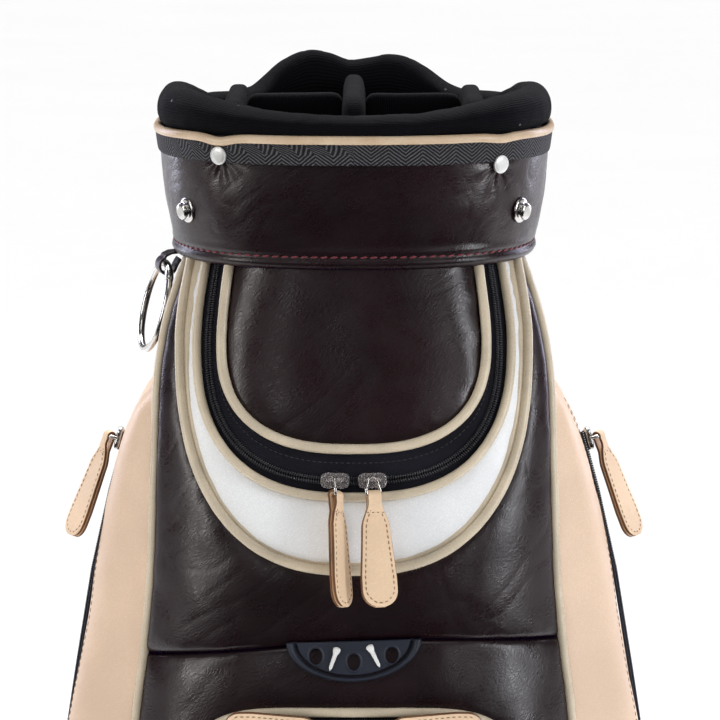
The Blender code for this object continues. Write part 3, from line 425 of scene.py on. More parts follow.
# ---- materials -----------------------------------------------------------------------------
def srgb(r, g, b):
    """An sRGB colour from 0 to 255 as linear RGBA."""
    c = [v / 255 for v in (r, g, b)]
    return (*[v / 12.92 if v <= 0.04045 else ((v + 0.055) / 1.055) ** 2.4 for v in c], 1.0)


def shade(colour, share):
    """A colour made darker or lighter by a share of itself."""
    return tuple(v * share for v in colour[:3]) + (1.0,)


class Sock:
    """A node's output with arithmetic."""

    def __init__(self, tree, socket):
        self.tree, self.socket = tree, socket

    def math(self, how, other=0.0, swap=False):
        """A Math node on this output and another value or output."""
        n = self.tree.nodes.new("ShaderNodeMath")
        n.operation = how
        for spot, value in zip(n.inputs, (other, self) if swap else (self, other)):
            feed(self.tree, spot, value)
        return Sock(self.tree, n.outputs[0])

    def __add__(self, other):
        return self.math("ADD", other)

    __radd__ = __add__

    def __sub__(self, other):
        return self.math("SUBTRACT", other)

    def __rsub__(self, other):
        return self.math("SUBTRACT", other, swap=True)

    def __mul__(self, other):
        return self.math("MULTIPLY", other)

    __rmul__ = __mul__

    def __truediv__(self, other):
        return self.math("DIVIDE", other)

    def __pow__(self, other):
        return self.math("POWER", other)


def feed(tree, spot, value):
    """Links an output to a socket, or sets the socket to a value."""
    if isinstance(value, Sock):
        tree.links.new(value.socket, spot)
    else:
        spot.default_value = value


class Recipe:
    """One material: its shader's constants, and nodes that feed it."""

    def __init__(self, name, **constants):
        self.material = bpy.data.materials.new(name)
        self.material.use_nodes = True
        self.tree = self.material.node_tree
        self.shader = self.tree.nodes["Principled BSDF"]
        for key, value in constants.items():
            self.shader.inputs[key.replace("_", " ")].default_value = value

    def node(self, kind, settings=None, inputs=None, out=0):
        """Any node: its settings first, then its sockets by name or number."""
        n = self.tree.nodes.new("ShaderNode" + kind)
        for key, value in (settings or {}).items():
            setattr(n, key, value)
        for key, value in (inputs or {}).items():
            feed(self.tree, n.inputs[key], value)
        return Sock(self.tree, n.outputs[out])

    def place(self):
        """The place in space, in metres."""
        return self.node("TexCoord", out="Object")

    def uv(self):
        """The piece's own surface coordinates, in metres along and across."""
        return self.node("UVMap", {"uv_map": "uv"})

    def parts(self, vector):
        """A vector's three numbers."""
        n = self.node("SeparateXYZ", inputs={0: vector})
        return [Sock(self.tree, n.socket.node.outputs[k]) for k in range(3)]

    def turned(self, vector, angles, scale):
        """The vector turned first and stretched along the turned axes after that."""
        spun = self.node("Mapping", inputs={"Vector": vector, "Rotation": angles})
        return self.node("VectorMath", {"operation": "MULTIPLY"}, {0: spun, 1: scale})

    def noise(self, vector, scale, detail=2.0, rough=0.5):
        """Cloudy values from 0 to 1 with scale clouds to the metre."""
        return self.node("TexNoise", inputs={"Vector": vector, "Scale": scale, "Detail": detail,
                                             "Roughness": rough})

    def cells(self, vector, scale, feature="DISTANCE_TO_EDGE"):
        """Distance to the edge, or with F1 to the middle, of random cells."""
        return self.node("TexVoronoi", {"feature": feature}, {"Vector": vector, "Scale": scale})

    def ramp(self, value, low, high, to_low=0.0, to_high=1.0):
        """Smoothly from to_low where value is low to to_high where it is high."""
        return self.node("MapRange", {"interpolation_type": "SMOOTHSTEP"},
                         {"Value": value, "From Min": low, "From Max": high, "To Min": to_low,
                          "To Max": to_high})

    def mix(self, share, a, b):
        """Colour a where share is 0 and b where it is 1."""
        return self.node("Mix", {"data_type": "RGBA"}, {0: share, 6: a, 7: b}, 2)

    def bump(self, height, distance):
        """A normal that leans as if the surface stood out by height times distance."""
        return self.node("Bump", inputs={"Height": height, "Distance": distance, "Strength": 1.0})

    def put(self, **sockets):
        """Feeds the shader's sockets and gives the finished material."""
        for key, value in sockets.items():
            feed(self.tree, self.shader.inputs[key.replace("_", " ")], value)
        return self.material


def leather(name, dark, light, roughness, grain, depth, fold=1.0, **constants):
    """Leather: a grain of small cells with rounded tops, fine slanting creases that cross it, painted shade
    that darkens the creases and the grooves between the cells, and a slow drift of colour and gloss."""
    r = Recipe(name, **constants)
    p = r.place()
    swirl = r.noise(p, 60.0, 3.0)
    cell = r.ramp(r.cells(p, grain), 0.0, 0.45)
    sway = Sock(r.tree, r.noise(p, 26.0, 2.0).socket.node.outputs["Color"])
    bend = r.node("VectorMath", {"operation": "MULTIPLY_ADD"}, {0: sway, 1: (0.02, 0.02, 0.02), 2: p})
    slant = r.turned(bend, (0.0, 0.66, 0.0), (170.0, 220.0, 480.0))
    crease = r.ramp(r.cells(slant, 1.0), 0.0, 0.3)
    fine = r.noise(p, grain * 2.2, 2.0)
    height = cell * 0.4 + crease * (0.9 * fold) + fine * 0.2 + swirl * 0.6
    normal = r.bump(height, depth)
    drift = r.ramp(r.noise(p, 14.0, 2.0), 0.35, 0.68)
    tone = r.mix(drift, dark, light)
    # painted shade: the grooves between the grain's cells and the creases are darkened towards 0.55 of the
    # dark colour
    tone = r.mix((1 - cell) * 0.2 + (1 - crease) * (0.3 * fold), tone, shade(dark, 0.55))
    gloss = r.ramp(swirl, 0.3, 0.7, roughness - 0.04, roughness + 0.05) + (1 - crease) * (0.1 * fold)
    return r.put(Base_Color=tone, Roughness=gloss, Normal=normal)


def vinyl(name, dark, light, roughness):
    """Glossy cord covering: faint rings across it and a slow drift of colour."""
    r = Recipe(name)
    p = r.place()
    grain = r.noise(p, 900.0, 2.0)
    drift = r.ramp(r.noise(p, 35.0, 3.0), 0.35, 0.65)
    v = r.parts(r.uv())[1]
    rings = (v * (TAU / 0.0021)).math("SINE") * r.noise(p, 120.0)
    tone = r.mix(drift, dark, light)
    return r.put(Base_Color=tone, Roughness=r.ramp(grain, 0.3, 0.7, roughness - 0.04, roughness + 0.08),
                 Normal=r.bump(grain * 0.5 + rings * 0.35, 0.00012))


def cloth(name, dark, light, way, pitch, cross, depth, roughness=0.9, speck=0.0):
    """Ribbed cloth: rounded ribs of that pitch that run along one direction of the surface, fine
    threads across them, and a soft fuzz, with painted shade in the valleys of the ribs and threads and
    painted light on their tops. way is 0 for ribs across, 1 for ribs along."""
    r = Recipe(name, Sheen_Weight=0.01, Sheen_Roughness=0.5, Specular_IOR_Level=0.12)
    uv = r.parts(r.uv())
    p = r.place()
    wander = (r.noise(p, 90.0, 3.0) - 0.5) * (pitch * 0.9)
    rib = ((uv[way] + wander) * (TAU / pitch)).math("SINE") * 0.5 + 0.5
    thread = ((uv[1 - way] + wander) * (TAU / cross)).math("SINE") * 0.5 + 0.5
    fuzz = r.noise(p, 1400.0, 2.0)
    drift = r.ramp(r.noise(p, 22.0, 3.0), 0.3, 0.7)
    # painted shade and light: the valleys of the ribs and threads are darker and their tops lighter,
    # following their bump; the fuzz is a random tone
    tone = r.mix(rib * 0.6 + thread * 0.15 + fuzz * 0.25, dark, light)
    tone = r.mix(drift * 0.35, tone, dark)
    if speck:
        dot = r.ramp(r.cells(p, 70.0, "F1"), 0.075, 0.055) * r.ramp(r.noise(p, 30.0), 0.55, 0.62)
        tone = r.mix(dot * speck, tone, srgb(150, 150, 156))
    return r.put(Base_Color=tone, Roughness=r.ramp(fuzz, 0.3, 0.7, roughness - 0.08, roughness),
                 Normal=r.bump(rib * 0.8 + thread * 0.3 + fuzz * 0.5, depth))


def herringbone(name):
    """Webbing: slanting bars of light and dark yarn whose slant changes from one column to the
    next, over a fine weave."""
    r = Recipe(name)
    u, v, _ = r.parts(r.uv())
    p = r.place()
    column = (u / 0.0105).math("PINGPONG", 1.0)
    wander = (r.noise(p, 140.0, 2.0) - 0.5) * 0.0012
    bars = ((v * 1.15 + column * 0.0105 * 0.85 + wander) * (TAU / 0.0026)).math("SINE") * 0.5 + 0.5
    weave = (u * (TAU / 0.0009)).math("SINE") * 0.5 + 0.5
    fuzz = r.noise(p, 1100.0, 2.0)
    bright = r.ramp(bars, 0.52, 0.86) * r.ramp(fuzz, 0.25, 0.6, 0.35, 1.0)
    tone = r.mix(bright, srgb(10, 10, 13), srgb(86, 85, 90))
    return r.put(Base_Color=tone, Roughness=r.ramp(fuzz, 0.3, 0.7, 0.72, 0.9),
                 Normal=r.bump(bars * 0.9 + weave * 0.3 + fuzz * 0.3, 0.00035))


def plain(name, dark, light, roughness, scale, depth, **constants):
    """Metal, rubber or plastic: a fine grain, faint scratches and smudges in the gloss."""
    r = Recipe(name, **constants)
    p = r.place()
    grain = r.noise(p, scale, 3.0)
    scratch = r.noise(r.turned(p, (0.4, 0.9, 0.2), (3.0, 40.0, 1.0)), 60.0, 4.0, 0.7)
    smudge = r.ramp(r.noise(p, 38.0, 4.0), 0.35, 0.7)
    tone = r.mix(grain * 0.6 + smudge * 0.4, dark, light)
    return r.put(Base_Color=tone, Roughness=roughness + scratch * 0.06 + smudge * 0.05,
                 Normal=r.bump(grain * 0.7 + scratch * 0.3, depth))


def thread(name, dark, light):
    """Sewing thread: fine strands twisted round each stitch."""
    r = Recipe(name, Sheen_Weight=0.2)
    p = r.place()
    strand = r.noise(r.turned(p, (0.0, 0.6, 0.0), (700.0, 700.0, 2400.0)), 1.0, 2.0)
    return r.put(Base_Color=r.mix(strand, dark, light), Roughness=r.ramp(strand, 0.3, 0.7, 0.5, 0.7),
                 Normal=r.bump(strand, 0.00015))


def lining(name, dark, light):
    """Woven lining: fine threads that cross at right angles, worked out from the place in space."""
    r = Recipe(name)
    p = r.place()
    x, y, z = r.parts(p)
    warp = ((x + y) * (TAU / 0.0016)).math("SINE") * 0.5 + 0.5
    weft = (z * (TAU / 0.0016)).math("SINE") * 0.5 + 0.5
    fuzz = r.noise(p, 900.0, 2.0)
    weave = warp * weft
    # painted shade and light: the gaps between threads are darker and their crossings lighter, following the
    # weave's bump; the fuzz is a random tone
    return r.put(Base_Color=r.mix(weave * 0.7 + fuzz * 0.3, dark, light),
                 Roughness=r.ramp(fuzz, 0.3, 0.7, 0.8, 0.92),
                 Normal=r.bump(weave + fuzz * 0.4, 0.0002))


def make_materials(c):
    """Every finish, from the colours in the settings."""
    def own(name):
        """A colour from the settings with its alpha."""
        return (*getattr(c, name), 1.0)

    brown, beige, white = own("brown"), own("beige"), own("white")
    cord, knit, pull, rubber = own("cord"), own("knit"), own("pull"), own("rubber")
    blue = {"Sheen_Weight": 0.05, "Sheen_Roughness": 0.3, "Sheen_Tint": srgb(120, 100, 235)}
    Looks.of.update({
        "brown_leather": leather("brown_leather_looks", shade(brown, 0.8), shade(brown, 1.2), 0.28, 760.0,
                                 0.00007, 0.55, Specular_IOR_Level=0.5, **blue),
        "white_leather": leather("white_leather_looks", shade(white, 0.93), white, 0.42, 700.0, 0.00010,
                                 0.15),
        "beige_leather": leather("beige_leather_looks", shade(beige, 0.93), shade(beige, 1.04), 0.44, 800.0,
                                 0.00009, 0.12),
        "pull_leather": leather("pull_leather_looks", shade(pull, 0.88), shade(pull, 1.05), 0.46, 900.0,
                                0.0001, 0.2),
        "pull_edge": leather("pull_edge_looks", srgb(96, 58, 30), srgb(134, 88, 48), 0.55, 1100.0, 0.00014,
                             0.3),
        "piping_vinyl": vinyl("piping_vinyl_looks", shade(cord, 0.9), shade(cord, 1.05), 0.28),
        "rim_vinyl": vinyl("rim_vinyl_looks", srgb(190, 164, 134), srgb(208, 186, 158), 0.3),
        "black_knit": cloth("black_knit_looks", shade(knit, 0.16), shade(knit, 0.6), 1, 0.0014, 0.0009,
                            0.0003,
                            0.96, 0.5),
        "tape": cloth("tape_looks", srgb(11, 11, 15), srgb(48, 49, 60), 0, 0.0013, 0.0008, 0.0004, 0.8),
        "woven_lining": lining("lining_looks", srgb(13, 13, 17), srgb(30, 30, 38)),
        "black_woven": herringbone("webbing_looks"),
        "polished_steel": plain("polished_steel_looks", srgb(186, 184, 180), srgb(222, 220, 216), 0.16, 500.0,
                                0.000004, Metallic=1.0),
        "satin_steel": plain("satin_steel_looks", srgb(206, 206, 204), srgb(236, 236, 234), 0.36, 700.0,
                             0.000006,
                             Metallic=0.7),
        "clear_plastic": plain("clear_plastic_looks", srgb(226, 216, 216), srgb(242, 236, 236), 0.04, 160.0,
                               0.000008, Transmission_Weight=0.85, IOR=1.46),
        "coil": plain("coil_looks", srgb(26, 26, 30), srgb(64, 64, 70), 0.24, 900.0, 0.00003),
        "black_rubber": plain("black_rubber_looks", shade(rubber, 0.8), shade(rubber, 1.2), 0.5, 1300.0,
                              0.00009),
        "black_plastic": plain("black_plastic_looks", srgb(15, 15, 17), srgb(26, 26, 29), 0.4, 900.0,
                               0.00006),
        "red_thread": thread("red_thread_looks", srgb(74, 14, 24), srgb(140, 34, 50)),
        "tan_thread": thread("tan_thread_looks", srgb(116, 82, 50), srgb(168, 128, 88)),
        "pale_thread": thread("pale_thread_looks", srgb(170, 132, 98), srgb(206, 168, 132)),
        "dark_thread": thread("dark_thread_looks", srgb(22, 18, 22), srgb(52, 44, 50)),
        "tee_white": plain("tee_white_looks", srgb(224, 224, 222), srgb(244, 244, 242), 0.35, 700.0, 0.00005),
    })


# ---- cuff ----------------------------------------------------------------------------------
def turns(count):
    """Evenly spaced angles round the bag, from the front."""
    return TAU * np.arange(count) / count - np.pi / 2


def near_rivet(angle, z, spread):
    """How close a place on the cuff is to a rivet, from 0 far away to 1 at it, with the angle
    round that rivet."""
    close, around = np.zeros(np.broadcast(angle, z).shape), np.zeros(np.broadcast(angle, z).shape)
    for degrees, height in RIVETS:
        a = math.radians(degrees)
        across = (np.mod(angle - a + np.pi, TAU) - np.pi) * 112
        near = np.exp(-((across / spread) ** 2 + ((z - height) / spread) ** 2))
        around = np.where(near > close, np.arctan2(z - height, across), around)
        close = np.maximum(close, near)
    return close, around


def rim_shape(cols, rows):
    """The padded rim: a soft ring whose outside bulges over the cord and whose crest rises at the
    sides and in two humps at the back, with long shallow hollows pressed into it."""
    a, v = np.meshgrid(turns(cols), TAU * np.arange(rows) / rows)
    at = cuff(a, 864.2)
    front, back = np.maximum(0, -at[..., 1] / 111), np.maximum(0, at[..., 1] / 111)
    crest = 885.0 - 11.5 * front ** 5 - 13.0 * np.minimum(1.0, 1.6 * back) ** 2
    hump = smooth(at[..., 0], [(-82, 0), (-70, 5), (-57, 18), (-43, 25), (-32, 26), (-18, 23), (-3, 18.5),
                               (10, 19.5),
                               (25, 22.5), (40, 21.5), (55, 15), (67, 6), (80, 0)])
    crest = crest + hump * back ** 4
    side = np.clip(np.abs(at[..., 0]) / 124, 0, 1) ** 6
    bulge = 1.6 - 0.2 * side
    width = 11.25 + 0.4 * np.sin(a * 9 + 1)
    cosv, sinv = np.cos(v), np.sin(v)
    reach = np.sign(cosv) * np.abs(cosv) ** np.where(sinv < 0, 0.5, 0.82)
    belly = np.where(cosv > 0, bulge * np.abs(cosv) ** 1.5, 0)
    base = cuff(a, 857.0, -11.55 + width * reach + belly)
    rise = np.sign(sinv) * np.abs(sinv) ** 0.86
    z = (859.6 + crest) / 2 + (crest - 859.6) / 2 * rise - side * 1.8 * (cosv > 0) * np.abs(cosv) ** 2
    p = np.stack([base[..., 0], base[..., 1], z], -1)
    n = grid_normals(p, True, True)
    if (n[..., 0] * p[..., 0] + n[..., 1] * p[..., 1])[0].mean() < 0:
        n = -n
    tuck = noise(p, 26.0, 4) * 0.8 + noise(p, 11.0, 8) * 0.35 - creases(p, 9.0, 5, 80, 2.0) * 0.35
    return p + n * tuck[..., None]


def make_rim(sizes):
    """The padded rim, and the cord under it: a ring carried round the cuff that dips at the rivets
    and at both sides."""
    show(surface("rim_cushion", rim_shape(440, 56), "black_knit", True, True), "root", "black_knit",
         "rim_pad", fill=0.8)
    a = turns(420)
    path = cuff(a, 859.4, -0.2)
    near, _ = near_rivet(a, 852.0, 11.0)
    path[:, 2] -= near * 2.4
    side = np.clip(np.abs(path[:, 0]) / 124, 0, 1) ** 6
    path[:, 2] -= side * 1.2
    out = unit(path * [1, 1, 0] + 1e-6)
    show(sweep("rim_cord", path, ring(mm(sizes.rim_cord) / 2, 14, 2.2), "rim_vinyl", True, out), "root",
         "piping_vinyl", "rim_piping")


def soft_bar(name, start, end, width, low, high, finish, seed):
    """A padded bar: a squarish rounded section carried from start to end and drawn in at both ends."""
    t = np.linspace(-1, 1, 60)[:, None]
    a = TAU * np.arange(36) / 36
    shape = superellipse(width / 2, (high - low) / 2, 3.4, a)[None]
    shrink = np.maximum(1 - np.abs(t) ** 14, 0.02)[..., None] ** 0.5
    height = (low + high) / 2
    middle = np.array([*start, height]) * (1 - t) / 2 + np.array([*end, height]) * (1 + t) / 2
    along = unit(np.array([*end, 0.0]) - np.array([*start, 0.0]))
    side = np.cross(along, [0, 0, 1.0])
    p = middle[:, None] + side * (shape[..., :1] * shrink) + np.array([0, 0, 1.0]) * (shape[..., 1:] * shrink)
    p[..., 2] += np.where(p[..., 2] > (low + high) / 2, noise(p, 24, seed) * 0.9, 0)
    p += side * (noise(p, 16, seed + 1) * 0.35)[..., None]
    return surface(name, p, finish, wrap_u=True, ends=True)


def make_rails(sizes):
    """Padded bars from front to back and two across: each ends on a superellipse inside the rim."""
    def inside(x):
        """How far in front of and behind the middle the rim's inside lies at x."""
        return 88.2 * (1 - (abs(x) / 101.0) ** 2.5) ** 0.4 if abs(x) < 101 else 0
    for i, (name, x, top) in enumerate((("left", -75.0, 879.0), ("centre", 0.0, 884.0),
                                        ("right", 75.0, 879.0))):
        reach = inside(abs(x) + 6.5) + 0.6
        bar = soft_bar("rail_cover_" + name, (x, -reach), (x, reach), mm(sizes.rail_width), 847.0, top,
                       "black_knit", i)
        show(bar, "root", "black_knit", "rail_" + name, fill=0.8)
    for i, (name, side) in enumerate((("left", -1), ("right", 1))):
        bar = soft_bar("cross_cover_" + name, (side * 6.0, 0), (side * 69.0, 0), 13.0, 847.0, 878.0,
                       "black_knit", 5 + i)
        show(bar, "root", "black_knit", "cross_rail_" + name, fill=0.8)


def make_collar():
    """The collar: a band whose folded foot stands proud under a row of stitches, crossed by slanting
    creases and drawn into puckers round the rivets."""
    a, z = np.meshgrid(turns(520), np.concatenate([[779.6, 779.8, 780.3], np.linspace(781, 857, 62)]))
    foot = 0.0
    for height, reach, size in ((783.6, 2.4, 1.5), (787.6, 1.1, -0.7), (790.5, 2.2, 0.35)):
        foot = foot + size * np.exp(-((z - height) / reach) ** 2)
    foot = foot - 2.2 * step(780.6, 779.6, z)
    p = cuff(a, z)
    near, around = near_rivet(a, z, 17.0)
    pucker = near * (0.7 * np.cos(around * 9 + 0.7) - 0.8) * step(0.985, 0.8, near)
    belly = 1.2 * np.sin(np.clip((z - 792) / 52, 0, 1) * np.pi)
    wave = noise(p, 46, 11) * 1.1 + noise(p, 15, 12) * 0.35 - creases(p, 6.5, 13, 40, 4.0) * 0.2
    lift = foot + (belly + wave) * step(788, 796, z) * step(852, 842, z) + pucker
    p = cuff(a, z, lift)
    collar = surface("collar_leather", p, "brown_leather", wrap_u=True, out=(0, 0))
    show(thicken(collar, 2.4), "root", "brown_leather", "collar_band")
    a = turns(700)
    line = cuff(a, 787.6, -0.1)
    out = unit(line * [1, 1, 0])
    show(stitches("collar_stitches", line, out, "red_thread", 6.0, 4.6, 0.62, True, 0.12), "root",
         "brown_leather")


def make_webbing(sizes):
    """Webbing round the collar's head: a flat band with rounded edges, pinched in at each rivet."""
    a = turns(520)
    section = superellipse(1.0, 1.0, 4.0, TAU * np.arange(16) / 16 + np.pi)
    near, _ = near_rivet(a, np.full_like(a, 851.0), 9.0)
    half = mm(sizes.webbing_width) / 2 * (1 - 0.2 * near) + 0.16 * np.sin(a * 150)
    middle = 850.8 - 0.8 * near + noise(np.stack([a * 112, a * 0, a * 0], -1), 22, 21) * 0.35
    z = middle[None] + half[None] * section[:, 1:]
    depth = 1.1 + noise(np.stack([a * 112, a * 0, a * 0], -1), 9, 22) * 0.35 - 1.0 * near
    p = cuff(a[None], z, depth[None] + 0.9 * section[:, :1])
    band = surface("webbing", p, "black_woven", wrap_u=True, wrap_v=True)
    show(band, "root", "black_woven", "webbing_band")


def turned(profile, count=36):
    """A profile of (radius, height) turned round the z axis, as a grid."""
    profile = np.asarray(profile, float)
    a = TAU * np.arange(count) / count
    return np.stack([profile[:, :1] * np.cos(a), profile[:, :1] * np.sin(a),
                     np.broadcast_to(profile[:, 1:], (len(profile), count))], -1)


def place(p, matrix):
    """Points moved by a 4 by 4 matrix."""
    m = np.array(matrix, float).reshape(4, 4)
    return p @ m[:3, :3].T + m[:3, 3]


def cuff_place(degrees, z, lift=0.0):
    """A matrix on the cuff whose z axis points straight out of it."""
    a = math.radians(degrees)
    spot = cuff(a, z, lift)
    ahead, up = cuff(a + 0.02, z) - cuff(a - 0.02, z), cuff(a, z + 5) - cuff(a, z - 5)
    out = unit(np.cross(ahead, up))
    x = unit(np.cross([0, 0, 1.0], out))
    m = np.eye(4)
    m[:3, 0], m[:3, 1], m[:3, 2], m[:3, 3] = x, np.cross(out, x), out, spot
    return m


def make_studs():
    """Two snap studs, a cap over a flange, and two flat rivets that pin the webbing's ends."""
    stud = [(0.01, 7.2), (2.4, 7.15), (4.2, 6.9), (5.0, 6.5), (5.5, 5.9), (5.6, 5.4), (5.3, 4.9), (4.4, 4.4),
            (4.2, 3.9), (4.3, 3.3), (5.2, 3.0), (6.6, 2.9), (7.5, 2.6), (8.0, 2.1), (7.9, 1.6), (7.4, 1.3),
            (0.01, 1.2)]
    for name, degrees in (("left", 214), ("right", 326)):
        p = place(turned(stud), cuff_place(degrees, 812.0))
        show(surface("snap_cap_" + name, p, "polished_steel", wrap_u=True, ends=True), "root",
             "polished_steel",
             "snap_stud_" + name)
    rivet = [(0.01, 1.75), (2.6, 1.72), (4.4, 1.6), (4.9, 1.35), (5.15, 1.5), (5.5, 1.45), (5.7, 1.0),
             (5.6, 0.3), (0.01, -0.4)]
    for name, (degrees, z) in zip(("left", "right"), RIVETS):
        p = place(turned(rivet), cuff_place(degrees, z, 1.3))
        show(surface("rivet_" + name, p, "satin_steel", wrap_u=True, ends=True), "root", "polished_steel")


RING_PIVOT = np.array([-119.5, -24.0, 771.0])


def make_towel_ring(sizes):
    """A steel ring in a leather loop under the collar; a short sleeve covers the ring's joint."""
    yaw = math.radians(15)
    axis = np.array([-math.sin(yaw), math.cos(yaw), 0.0])
    down = np.array(Matrix.Rotation(math.radians(15), 3, Vector(axis)) @ Vector((0, 0, -1)))
    middle = RING_PIVOT + down * 26.8
    a = TAU * np.arange(96) / 96
    path = middle + axis * (28 * np.sin(a))[:, None] - down * (28 * np.cos(a))[:, None]
    hoop = sweep("towel_hoop", path, ring(mm(sizes.ring_wire) / 2, 14), "polished_steel", True,
                 unit(path - middle))
    show(hoop, "towel_ring", "polished_steel", "towel_ring")
    b = np.linspace(math.radians(28), math.radians(46), 14)
    bit = middle - axis * (28 * np.sin(b))[:, None] - down * (28 * np.cos(b))[:, None]
    wide = 1 + 0.12 * step(0, 0.15, np.linspace(0, 1, 14)) * step(1, 0.85, np.linspace(0, 1, 14))
    show(sweep("hoop_sleeve", bit, ring(2.5, 14), "polished_steel", False, unit(bit - middle), wide),
         "towel_ring",
         "polished_steel")
    out = np.array([-math.cos(yaw), -math.sin(yaw), 0.0])
    c = np.radians(np.linspace(112, 350, 30))
    loop = np.stack([5.3 * np.cos(c) + 0.6, 5.3 * np.sin(c)], -1)
    loop = np.vstack([[(8.4, 8.6), (3.0, 8.2), (-0.6, 6.6)], loop, [(7.6, 2.4), (9.0, 4.2)]])
    loop = resample(loop, 50)
    path = RING_PIVOT - out * loop[:, :1] + np.array([0, 0, 1.0]) * loop[:, 1:]
    middle = RING_PIVOT - out * 0.6
    section = superellipse(6.6, 0.95, 5, TAU * np.arange(24) / 24)
    tab = sweep("ring_loop", path, section, "brown_leather", False, unit(path - middle + 1e-6))
    show(tab, "root", "brown_leather", "ring_tab")


# ---- front pockets -------------------------------------------------------------------------
def between(inner, outer, across):
    """A grid of (x, z) points between two lines, and each point's distance from both."""
    t = np.linspace(0, 1, across)[:, None]
    wide = np.linalg.norm(outer - inner, axis=-1)[None]
    return inner[None] * (1 - t[..., None]) + outer[None] * t[..., None], t * wide, (1 - t) * wide


def panel_relief(p, d_in, d_out, puff, seed, crease):
    """How far a leather panel stands out: full in the middle, tucked in along both seams, with
    slanting creases, puckers that run in from the seams, and a slow wave."""
    hold = (1 - np.exp(-d_in / 6.5)) * (1 - np.exp(-d_out / 6.5))
    gather = noise(p, 7.0, seed) * (np.exp(-d_in / 7) + np.exp(-d_out / 7)) * 0.55
    slant = creases(p, 13.0, seed + 1, 38, 4.0) * crease * hold * 0.3
    wave = noise(p, 60, seed + 4) * 1.7 + noise(p, 24, seed + 5) * 0.7
    tuck = 1.3 * np.exp(-(d_in / 1.6) ** 2) + 1.3 * np.exp(-(d_out / 1.6) ** 2)
    return puff * hold - tuck + gather - slant + wave * hold


def leather_panel(name, xz, d_in, d_out, puff, finish, seed, crease, wrap=False):
    """A grid on the front moved out by the panel's relief, as leather 2 mm thick."""
    p = on_front(xz, panel_relief(on_front(xz), d_in, d_out, puff, seed, crease))
    return thicken(surface(name, p, finish, wrap_u=wrap, out=(0, 0)), 2.0)


def disc_panel(name, loop, centre, rings, puff, seed, crease, free=0):
    """Leather inside a closed line, as rings that shrink from it to a point: the relief tucks the
    edge in, apart from the line's last points, free of them."""
    r = np.concatenate([[0], np.linspace(0.012, 1, rings)])[:, None, None]
    xz = centre + (loop[None] - centre) * r
    far = np.full(xz.shape[:2], 99.0)
    d_out = (1 - r[..., 0]) * np.linalg.norm(loop - centre, axis=-1)[None]
    d_out = np.where((np.arange(len(loop)) >= len(loop) - free)[None], far, d_out)
    p = on_front(xz, panel_relief(on_front(xz), far, d_out, puff, seed, crease))
    panel = closed_pole(surface(name, p[::-1], "brown_leather", wrap_u=True, out=(0, 0)))
    return thicken(panel, 2.0)


def cord_on_front(name, xz, radius, lift, closed=False):
    """A satin cord that follows a line on the leather, wandering and swelling a little."""
    p, out = on_front(xz, lift), front_normal(xz[:, 0], xz[:, 1])
    wander = noise(p, 30, 41) * 0.35
    p = p + out * wander[:, None]
    return sweep(name, p, ring(radius, 14, 2.2), "piping_vinyl", closed, out, 1 + 0.035 * noise(p, 9, 42))


def zip_rows(name, xz, body_in, body_out, inward):
    """Both rows of a coil zip along a line on the front; inward is 1 or -1, the inner row's side."""
    p, out = on_front(xz, 0.5), front_normal(xz[:, 0], xz[:, 1])
    for row, side, body in (("inner", inward, body_in), ("outer", -inward, body_out)):
        show(teeth("%s_%s" % (name, row), p, out, "coil", side * COIL_SHIFT, side), body, "black_woven")


def make_flap():
    """The flap: rings that shrink from its U-shaped edge to a point near its middle."""
    edge = u_line(*FLAP_U, 788.0, 260, -0.6)
    top = np.stack([np.linspace(edge[-1, 0], edge[0, 0], 62)[1:-1], np.full(60, 788.0)], -1)
    loop = np.vstack([edge, top])
    flap = disc_panel("flap_leather", loop, np.array([0.0, 738.0]), 46, 2.6, 31, 0.45, 62)
    cord = cord_on_front("flap_cord", u_line(*FLAP_U, 783.0, 300), 3.1, 2.7)
    for piece, node, slot in ((flap, "upper_flap", "brown_leather"), (cord, "flap_piping", "piping_vinyl")):
        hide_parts(node)
        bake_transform(piece)


def make_upper_zip():
    """Woven tapes between the U lines on both sides of a coil zip, and a row of stitches."""
    n = 300
    inner, near, _ = between(u_line(*FLAP_U, 779.0, n, 0.4), u_line(*TEETH_U, 779.0, n, -0.5), 12)
    tape = surface("flap_tape", on_front(inner, 0.1 - 0.5 * np.exp(-near / 2)), "tape", out=(0, 0))
    show(thicken(tape, 1.0), "upper_flap", "black_woven", "flap_zip_tape")
    outer, _, near = between(u_line(*TEETH_U, 789.0, n, 0.5), u_line(*INNER_U, 789.0, n, -0.2), 10)
    tape = surface("body_tape", on_front(outer, 0.1 - 0.5 * np.exp(-near / 2)), "tape", out=(0, 0))
    show(thicken(tape, 1.0), "root", "black_woven", "body_zip_tape")
    zip_rows("upper_teeth", u_line(*TEETH_U, 779.0, 700), "upper_flap", "root", 1)
    seam = u_line(84.2, 666.0, 2.65, 778.0, 300)
    out = front_normal(seam[:, 0], seam[:, 1])
    show(stitches("flap_tape_stitches", on_front(seam, 0.25), out, "dark_thread", 3.4, 2.4, 0.3),
         "upper_flap", "black_woven")


